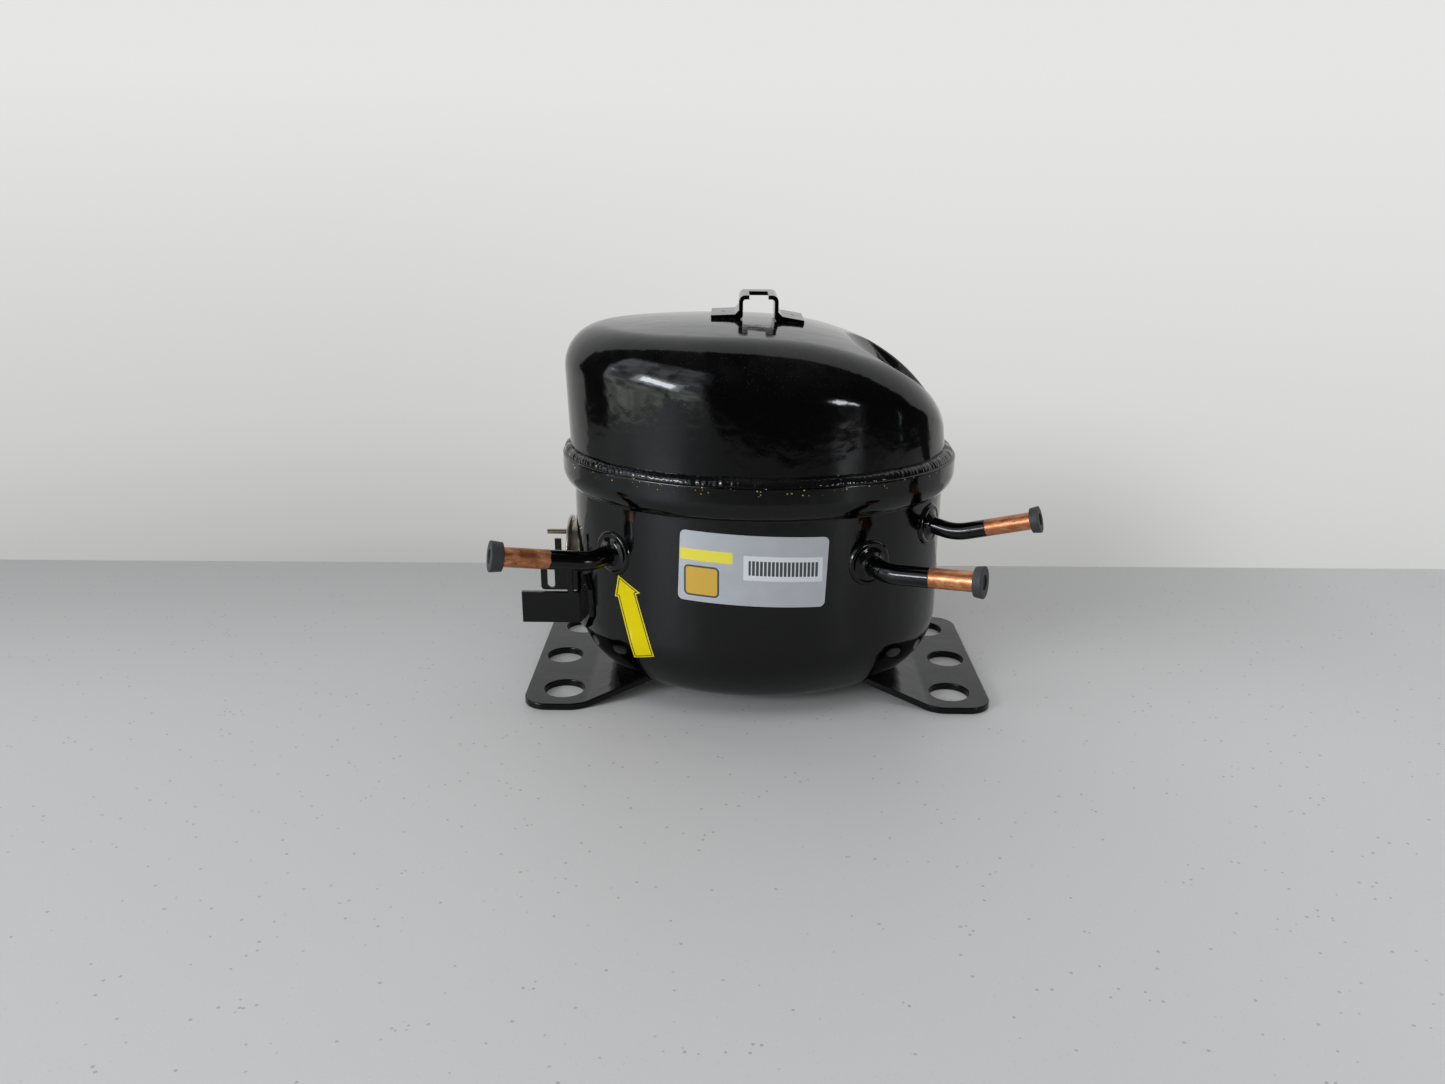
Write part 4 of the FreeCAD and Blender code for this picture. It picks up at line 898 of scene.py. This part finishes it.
def silver_label(lay):
    """Metallised film with a yellow band, a white field of even bars and a plain amber field."""
    def panel(left, right, bottom, top, corner):
        middle = ((left + right) / 2 * MM, LABEL_Y, (bottom + top) / 2 * MM)
        return lay.use(PANEL, Centre=middle, Width=(right - left) / 2 * MM, Height=(top - bottom) / 2 * MM,
                       Corner=corner * MM, Slant=LABEL_SLANT)

    grain = lay.use(GRAIN, Scale=130.0, Fine=0.4)
    scratches = lay.use(SCRATCHES, Amount=0.7)["Mask"]
    dust = lay.use(DUST, Amount=0.2)["Mask"]
    colour = lay.mix(grain["Slow"], (0.40, 0.42, 0.455), (0.47, 0.49, 0.525))
    band, white, amber = panel(*YELLOW_BAND), panel(*WHITE_FIELD), panel(*AMBER_FIELD)
    wave = lay.size_of(lay.math("SINE", lay.times(white["Across"], math.pi / BAR_PITCH)))
    bars = lay.times(lay.fade(wave, 0.42, 0.5), panel(*BAR_FIELD)["Mask"])
    rim = lay.fade(lay.size_of(amber["Distance"]), 0.45 * MM, 0.3 * MM)
    colour = lay.coats(
        colour, (band["Mask"], (0.74, 0.66, 0.055)), (white["Mask"], (0.62, 0.64, 0.66)),
        (bars, (0.045, 0.047, 0.052)), (amber["Mask"], (0.58, 0.36, 0.045)), (rim, (0.05, 0.05, 0.055)),
        (dust, (0.5, 0.49, 0.46)))
    printed = lay.larger(lay.larger(band["Mask"], white["Mask"]), amber["Mask"])
    rough = lay.blend(printed, lay.blend(grain["Fine"], 0.26, 0.36), 0.42)
    metal = lay.times(lay.minus(1.0, printed), 0.2)
    return surface(lay, colour, lay.blend(scratches, rough, 0.55), grain["Height"], 0.00006, Metallic=metal)


def yellow_film(lay):
    grain = lay.use(GRAIN, Scale=120.0, Fine=0.3)
    dust = lay.use(DUST, Amount=0.2)["Mask"]
    scratches = lay.use(SCRATCHES, Amount=0.5)["Mask"]
    colour = lay.mix(grain["Slow"], (0.66, 0.53, 0.001), (0.72, 0.59, 0.002))
    colour = lay.coats(colour, (scratches, (0.75, 0.66, 0.16)), (dust, (0.58, 0.50, 0.20)))
    rough = lay.blend(grain["Fine"], 0.30, 0.42)
    return surface(lay, colour, rough, grain["Height"], 0.00008, IOR=STICKER_IOR)


def along(route, distance):
    """Point of a stub's last run, that far before its end, and the way it runs."""
    corner, end = Vector(route[1]) * MM, Vector(route[2]) * MM
    way = (end - corner).normalized()
    return tuple(end - way * distance), tuple(way)


paint = finish("black_enamel", lambda lay: black_enamel(lay, ENAMEL_WAVES, spatter_glint=0.8))
weld_paint = finish("black_enamel_on_weld", lambda lay: black_enamel(lay, WELD_WAVES, 0.003))
# where the paint ends on a stub, from its end, how uneven the border is, and how mottled the copper
suction_copper = finish("suction_copper", copper_stub(*along(SUCTION_ROUTE, 21.5 * MM), 4.0 * MM, 1.0))
process_copper = finish("process_copper", copper_stub(*along(PROCESS_ROUTE, 19.6 * MM), 0.8 * MM, 0.35))
discharge_copper = finish("discharge_copper", copper_stub(*along(DISCHARGE_ROUTE, 20.3 * MM), 0.6 * MM, 0.45))
LOOKS = {
    "cap_rubber": moulded((0.030, 0.031, 0.033), (0.018, 0.0185, 0.02), 0.62),
    "terminal_steel": cast_or_machined((0.52, 0.48, 0.40), (0.30, 0.27, 0.22), 0.34, 0.9, 160.0, 0.00012),
    "bead_glass": bead_glass_look,
    "pin_metal": cast_or_machined((0.62, 0.53, 0.37), (0.42, 0.35, 0.24), 0.3, 0.95, 300.0, 0.00005),
    "label_silver": silver_label,
    "label_yellow": yellow_film,
    "print_dark": moulded((0.05, 0.048, 0.02), (0.03, 0.03, 0.015), 0.4, 400.0, 0.00003),
    "bare_steel": cast_or_machined((0.50, 0.50, 0.51), (0.33, 0.33, 0.345), 0.28, 1.0, 240.0, 0.00003, 8.0),
    "cast_grey": cast_or_machined((0.20, 0.205, 0.21), (0.11, 0.113, 0.118), 0.6, 0.75, 420.0, 0.0003),
    "lamination": lamination_look,
    "enamel_copper": winding_look,
    "cast_alu": cast_or_machined((0.66, 0.67, 0.68), (0.48, 0.49, 0.50), 0.42, 0.95, 320.0, 0.0002),
    "spring_steel": cast_or_machined((0.33, 0.335, 0.35), (0.19, 0.195, 0.21), 0.3, 1.0, 260.0, 0.00003),
    "gasket_fibre": moulded((0.16, 0.21, 0.22), (0.10, 0.135, 0.145), 0.8, 420.0),
    "moulded_cream": moulded((0.72, 0.66, 0.52), (0.60, 0.54, 0.41), 0.5),
    "lead_sleeve": moulded((0.68, 0.63, 0.54), (0.46, 0.42, 0.35), 0.8, 900.0, 0.0003),
}
FINISHES = {"gloss_black": paint, "weld_black": weld_paint, "copper": suction_copper}
FINISHES.update({name: finish(name, look) for name, look in LOOKS.items()})
foot_paint = finish("black_enamel_on_feet", lambda lay: black_enamel(lay, ENAMEL_WAVES, ior=FOOT_IOR))
NODE_FINISHES = {
    "suction_tube": suction_copper, "process_tube": process_copper, "discharge_tube": discharge_copper,
    "base_plate_left": foot_paint, "base_plate_right": foot_paint,
}


def carried(piece, body, material):
    piece.data.materials.clear()
    piece.data.materials.append(material)
    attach(piece, body)
    return piece


def dress_nodes():
    """Gives every solid its finish."""
    for part in frame["record"]["subparts"]:
        node = frame["nodes"][part["node"]]
        node.data.materials.clear()
        node.data.materials.append(NODE_FINISHES.get(part["node"], FINISHES[part["material_slot"]]))


# ==== room
PART_MIDDLE = Vector((0, 0, 0.1))
TABLE_BACK_LEFT = (-0.3646, 0.1335)      # two points of the table's back edge
TABLE_BACK_RIGHT = (0.3688, 0.1392)
TABLE_THICK = 0.025
TABLE_REACH = (0.56, 0.93)               # to the left and right of the middle
TABLE_DEPTH = 0.87
TABLE_BEVEL = 0.002
# how dark the shade behind the part is, along the table's length
SHADE_ACROSS = ((-0.15, 1.0), (0.10, 0.78), (0.19, 0.70), (0.26, 0.50), (0.33, 0.15))


def table_top(lay):
    """Pale laminate with a fine dark fleck; painted shade behind the part and on the left, a painted shadow
    close in front and painted light on the right.
    """
    tone = lay.noise(3.0, 3.0)
    flecks = lay.use(SPECKS, Scale=260.0, Size=0.17)["Mask"]
    fine = lay.use(SPECKS, Scale=700.0, Size=0.22)["Mask"]
    colour = lay.mix(tone, (0.60, 0.60, 0.595), (0.64, 0.64, 0.635))
    parts = lay.parts(lay.place())
    sideways = lay.ramp(parts[0], -0.3, 0.5, SHADE_ACROSS)
    shaded = lay.times(lay.fade(parts[1], -0.10, 0.145), sideways)
    # painted light: the paler stretch toward the right; painted shade: the darker stretch behind the part and
    # the dim strip in front, past the camera's view
    colour = lay.coats(
        colour, (lay.fade(parts[0], 0.05, 0.24), (0.70, 0.70, 0.695)), (shaded, (0.43, 0.43, 0.425)),
        (lay.fade(parts[1], -0.26, -0.42), (0.30, 0.30, 0.30)), (lay.times(fine, 0.25), (0.42, 0.42, 0.42)),
        (lay.times(flecks, 0.55), (0.25, 0.25, 0.25)))
    return surface(lay, colour, 0.5, lay.noise(900.0), 0.00003)


def table():
    left, right = Vector((*TABLE_BACK_LEFT, 0)), Vector((*TABLE_BACK_RIGHT, 0))
    edge = (right - left).normalized()
    forward = Vector((edge.y, -edge.x, 0))
    middle = (left + right) / 2
    bevel = TABLE_BEVEL
    points = []
    for inset, z in ((0, -TABLE_THICK), (0, -bevel), (bevel * 0.3, -bevel * 0.3), (bevel, 0)):
        for side, front in ((0, 0), (1, 0), (1, 1), (0, 1)):
            deep = TABLE_DEPTH - inset if front else inset
            wide = (TABLE_REACH[side] - inset) * (1 if side else -1)
            points.append(middle + edge * wide + forward * deep + Vector((0, 0, z)))
    faces = ring_faces(4, 4)
    faces = [face[::-1] for face in faces] + [(0, 1, 2, 3), (15, 14, 13, 12)]
    slab = new_object("table_top", points, faces)
    slab.data.shade_flat()
    slab.data.materials.append(finish("table_laminate", table_top))


WINDOW_AZIMUTH = math.radians(-125.0)    # from +Y toward +X
WINDOW_TINTS = (1.02, 1.07, 0.98), (0.94, 0.99, 1.06)      # low and high in the window
POST_AT = 0.225                          # to the left of the window's middle, by its distance
SILL_BEND = 0.13


def side_window(lay, way):
    """What a tall window on the left shows, by direction: a post in it, paler sky above, a hazy yard."""
    ahead = Vector((math.sin(WINDOW_AZIMUTH), math.cos(WINDOW_AZIMUTH), 0))
    depth = lay.dot(way, tuple(ahead))
    across = lay.math("DIVIDE", lay.dot(way, tuple(ahead.cross(Z))), depth)
    up = lay.math("DIVIDE", lay.parts(way)[2], depth)
    pane = lay.times(lay.fade(across, 0.63, 0.57), lay.fade(across, -0.72, -0.45))
    pane = lay.times(pane, lay.fade(up, 1.32, 1.05))
    sill = lay.plus(up, lay.times(SILL_BEND, lay.math("POWER", across, 2.0)))
    pane = lay.times(pane, lay.fade(sill, -0.235, -0.205))
    pane = lay.times(pane, lay.fade(depth, 0.02, 0.15))
    post = lay.fade(lay.size_of(lay.plus(across, POST_AT)), 0.010, 0.045, 0.35, 1.0)
    haze = lay.fade(lay.noise(6.0, 4.0, 0.6, way), 0.34, 0.66, 0.45, 1.9)
    sky = lay.fade(up, -0.05, 0.5, 1.5, 1.15)
    bright = lay.times(lay.times(pane, post), lay.times(haze, sky))
    return bright, lay.mix(lay.fade(up, -0.15, 0.35), *WINDOW_TINTS)


WALL_TOP = (0.152, 1.0, 0.186)           # in reflections the wall fills the far side of a tilted plane
WALL_TOP_AT = 0.313
WALL_SIDE = (-0.04, 1.0, 0.0)            # and of a steeper one below the horizon
WALL_SIDE_AT = 0.38
WALL_TONES = (0.70, 0.70, 0.69), (0.88, 0.89, 0.90)            # low and high
ROOM_TONES = (0.008, 0.008, 0.010), (0.075, 0.072, 0.072)
# brightness of the wall as the camera sees it, by height, at the left and the right; the fall toward the
# table's edge, deeper on the left, is painted shade
SEEN_LEFT = ((-0.34, 0.39), (-0.30, 0.485), (-0.20, 0.61), (-0.08, 0.69), (0.06, 0.79))
SEEN_RIGHT = ((-0.34, 0.57), (-0.24, 0.66), (-0.08, 0.74), (0.06, 0.79))
SEEN_TINT = (1.0, 1.0, 0.985)
ROOM_FILL = 0.75                         # strength for the light that falls on the part
LAMP_DISTANCE = 1.4
TUBE_LIGHT = (0.93, 0.96, 1.0)
GLOW_LIGHT = (0.85, 0.92, 1.0)
BLUE_LIGHT = (0.70, 0.85, 1.0)
GREEN_LIGHT = (0.70, 1.0, 0.80)


def room_light():
    """Pale wall that the camera sees, with painted shade toward the table and a painted shadow of the part;
    gloss also shows where it ends, a dim room and a window.
    """
    world = bpy.data.worlds.new("room")
    bpy.context.scene.world = world
    world.use_nodes = True
    tree = world.node_tree
    tree.nodes.clear()
    lay = Tree(tree)
    way = lay.put("ShaderNodeTexCoord").outputs["Generated"]
    parts = lay.parts(way)
    past_top = lay.minus(lay.dot(way, WALL_TOP), WALL_TOP_AT)
    past_side = lay.minus(lay.dot(way, WALL_SIDE), WALL_SIDE_AT)
    past_end = lay.blend(lay.fade(parts[2], 0.06, -0.14), past_top, past_side)
    wall = lay.mix(lay.fade(parts[2], -0.3, 0.9), *WALL_TONES)
    dim = lay.mix(lay.noise(2.5, place=way), *ROOM_TONES)
    bright, tint = side_window(lay, way)
    room = lay.mix(bright, dim, tint)
    room = lay.mix(lay.fade(past_end, -0.015, 0.015), room, wall)
    left = lay.ramp(parts[2], -0.4, 0.1, SEEN_LEFT)
    right = lay.ramp(parts[2], -0.4, 0.1, SEEN_RIGHT)
    seen = lay.mix(lay.fade(parts[0], -0.35, 0.2), left, right)
    # painted shadow of the part on the wall, to its right and just above the table
    shadow_beside_part = lay.times(lay.fade(parts[0], 0.45, 0.27), lay.fade(parts[0], 0.0, 0.15))
    shadow_beside_part = lay.times(shadow_beside_part, lay.fade(parts[2], -0.17, -0.32, 0.0, 0.24))
    seen = lay.mix(shadow_beside_part, seen, (0, 0, 0))
    seen = lay.mix(1.0, seen, SEEN_TINT, "MULTIPLY")
    rays = lay.put("ShaderNodeLightPath").outputs
    colour = lay.mix(rays["Is Camera Ray"], room, seen)
    shown = lay.larger(rays["Is Camera Ray"], rays["Is Glossy Ray"])
    shown = lay.larger(shown, rays["Is Transmission Ray"])
    strength = lay.blend(shown, ROOM_FILL, 1.0)
    background = lay.put("ShaderNodeBackground", {"Color": colour, "Strength": strength})
    out = tree.nodes.new("ShaderNodeOutputWorld")
    tree.links.new(background.outputs[0], out.inputs[0])


def toward(azimuth, elevation):
    """Place seen from the part at an azimuth from +Y toward +X and an elevation, in degrees."""
    a, e = math.radians(azimuth), math.radians(elevation)
    way = Vector((math.sin(a) * math.cos(e), math.cos(a) * math.cos(e), math.sin(e)))
    return way * LAMP_DISTANCE + PART_MIDDLE


def panel_light(name, left, right, height, radiance, colour=(1, 1, 1), glossy=True, lit=True):
    """Rectangular light between two ends, facing the part, given by the brightness of its face."""
    left, right = Vector(left), Vector(right)
    across = (right - left).normalized()
    back = (left + right) / 2 - PART_MIDDLE
    back = (back - across * back.dot(across)).normalized()
    lamp = bpy.data.lights.new(name, "AREA")
    lamp.shape = "RECTANGLE"
    lamp.size = (right - left).length
    lamp.size_y = height
    lamp.energy = radiance * math.pi * lamp.size * height
    lamp.color = colour
    holder = placed(name, lamp)
    facing = Matrix((across, back.cross(across), back)).transposed().to_4x4()
    holder.matrix_world = Matrix.Translation((left + right) / 2) @ facing
    holder.visible_camera = False
    holder.visible_glossy = glossy
    holder.visible_diffuse = lit


def lights():
    """Lamps seen in the gloss, then soft light on everything; heights in metres, then brightness."""
    panel_light("ceiling_tube", toward(-122, 17), toward(-142, 13), 0.19, 22, TUBE_LIGHT)
    panel_light("ceiling_glow", toward(-118, 17.5), toward(-146, 12), 0.36, 4.0, GLOW_LIGHT, lit=False)
    panel_light("ceiling_tube", toward(139, 6.2), toward(135, 0.8), 0.17, 22, TUBE_LIGHT, lit=False)
    panel_light("ceiling_tube", toward(132.6, 1.5), toward(127.5, -0.8), 0.06, 22, TUBE_LIGHT, lit=False)
    panel_light("far_lamp", toward(-97, 20), toward(-101, 20), 0.10, 4, BLUE_LIGHT, lit=False)
    panel_light("far_lamp", toward(100.5, -3.7), toward(98, -4.7), 0.012, 4, GREEN_LIGHT, lit=False)
    panel_light("overhead", (-0.55, -0.5, 1.6), (0.75, -0.5, 1.6), 0.9, 1.9, glossy=False)
    panel_light("front_fill", (0.6, -1.7, 0.7), (-1.0, -1.7, 0.7), 1.2, 1.35, glossy=False)


CAMERA_PLACE = (-0.01133, -0.48391, 0.2193)
CAMERA_SPIN = 0.47                       # degrees
CAMERA_DOWN = 18.42
CAMERA_ROLL = 0.37
LENS_MM = 28.65
SENSOR_MM = 36.0


def turned(angle, axis):
    return Matrix.Rotation(math.radians(angle), 4, axis)


def camera():
    lens = bpy.data.cameras.new("camera")
    lens.lens = LENS_MM
    lens.sensor_width = SENSOR_MM
    lens.sensor_fit = "HORIZONTAL"
    lens.clip_start = 0.01
    lens.clip_end = 20
    holder = placed("camera", lens)
    aim = turned(CAMERA_SPIN, "Z") @ turned(90 - CAMERA_DOWN, "X") @ turned(CAMERA_ROLL, "Z")
    holder.matrix_world = Matrix.Translation(CAMERA_PLACE) @ aim
    bpy.context.scene.camera = holder


# ==== making
bpy.context.scene.view_settings.view_transform = "Standard"
camera()
room_light()
lights()
table()
dress_nodes()
dome()
bowl()
bead()
arrow_outline()
for title, route, r, bend_r, copper in (
    ("suction", SUCTION_ROUTE, SERVICE_R, SERVICE_BEND_R, suction_copper),
    ("process", PROCESS_ROUTE, SERVICE_R, SERVICE_BEND_R, process_copper),
    ("discharge", DISCHARGE_ROUTE, DISCHARGE_R, DISCHARGE_BEND_R, discharge_copper),
):
    stub(title + "_stub", title + "_tube", route, r, bend_r, copper)
for title, route, r, collar_r in (
    ("suction", SUCTION_ROUTE, SERVICE_R, SERVICE_COLLAR_R),
    ("process", PROCESS_ROUTE, SERVICE_R, SERVICE_COLLAR_R),
    ("discharge", DISCHARGE_ROUTE, DISCHARGE_R, DISCHARGE_COLLAR_R),
):
    collar(title + "_boss", title + "_collar", route, r, collar_r)
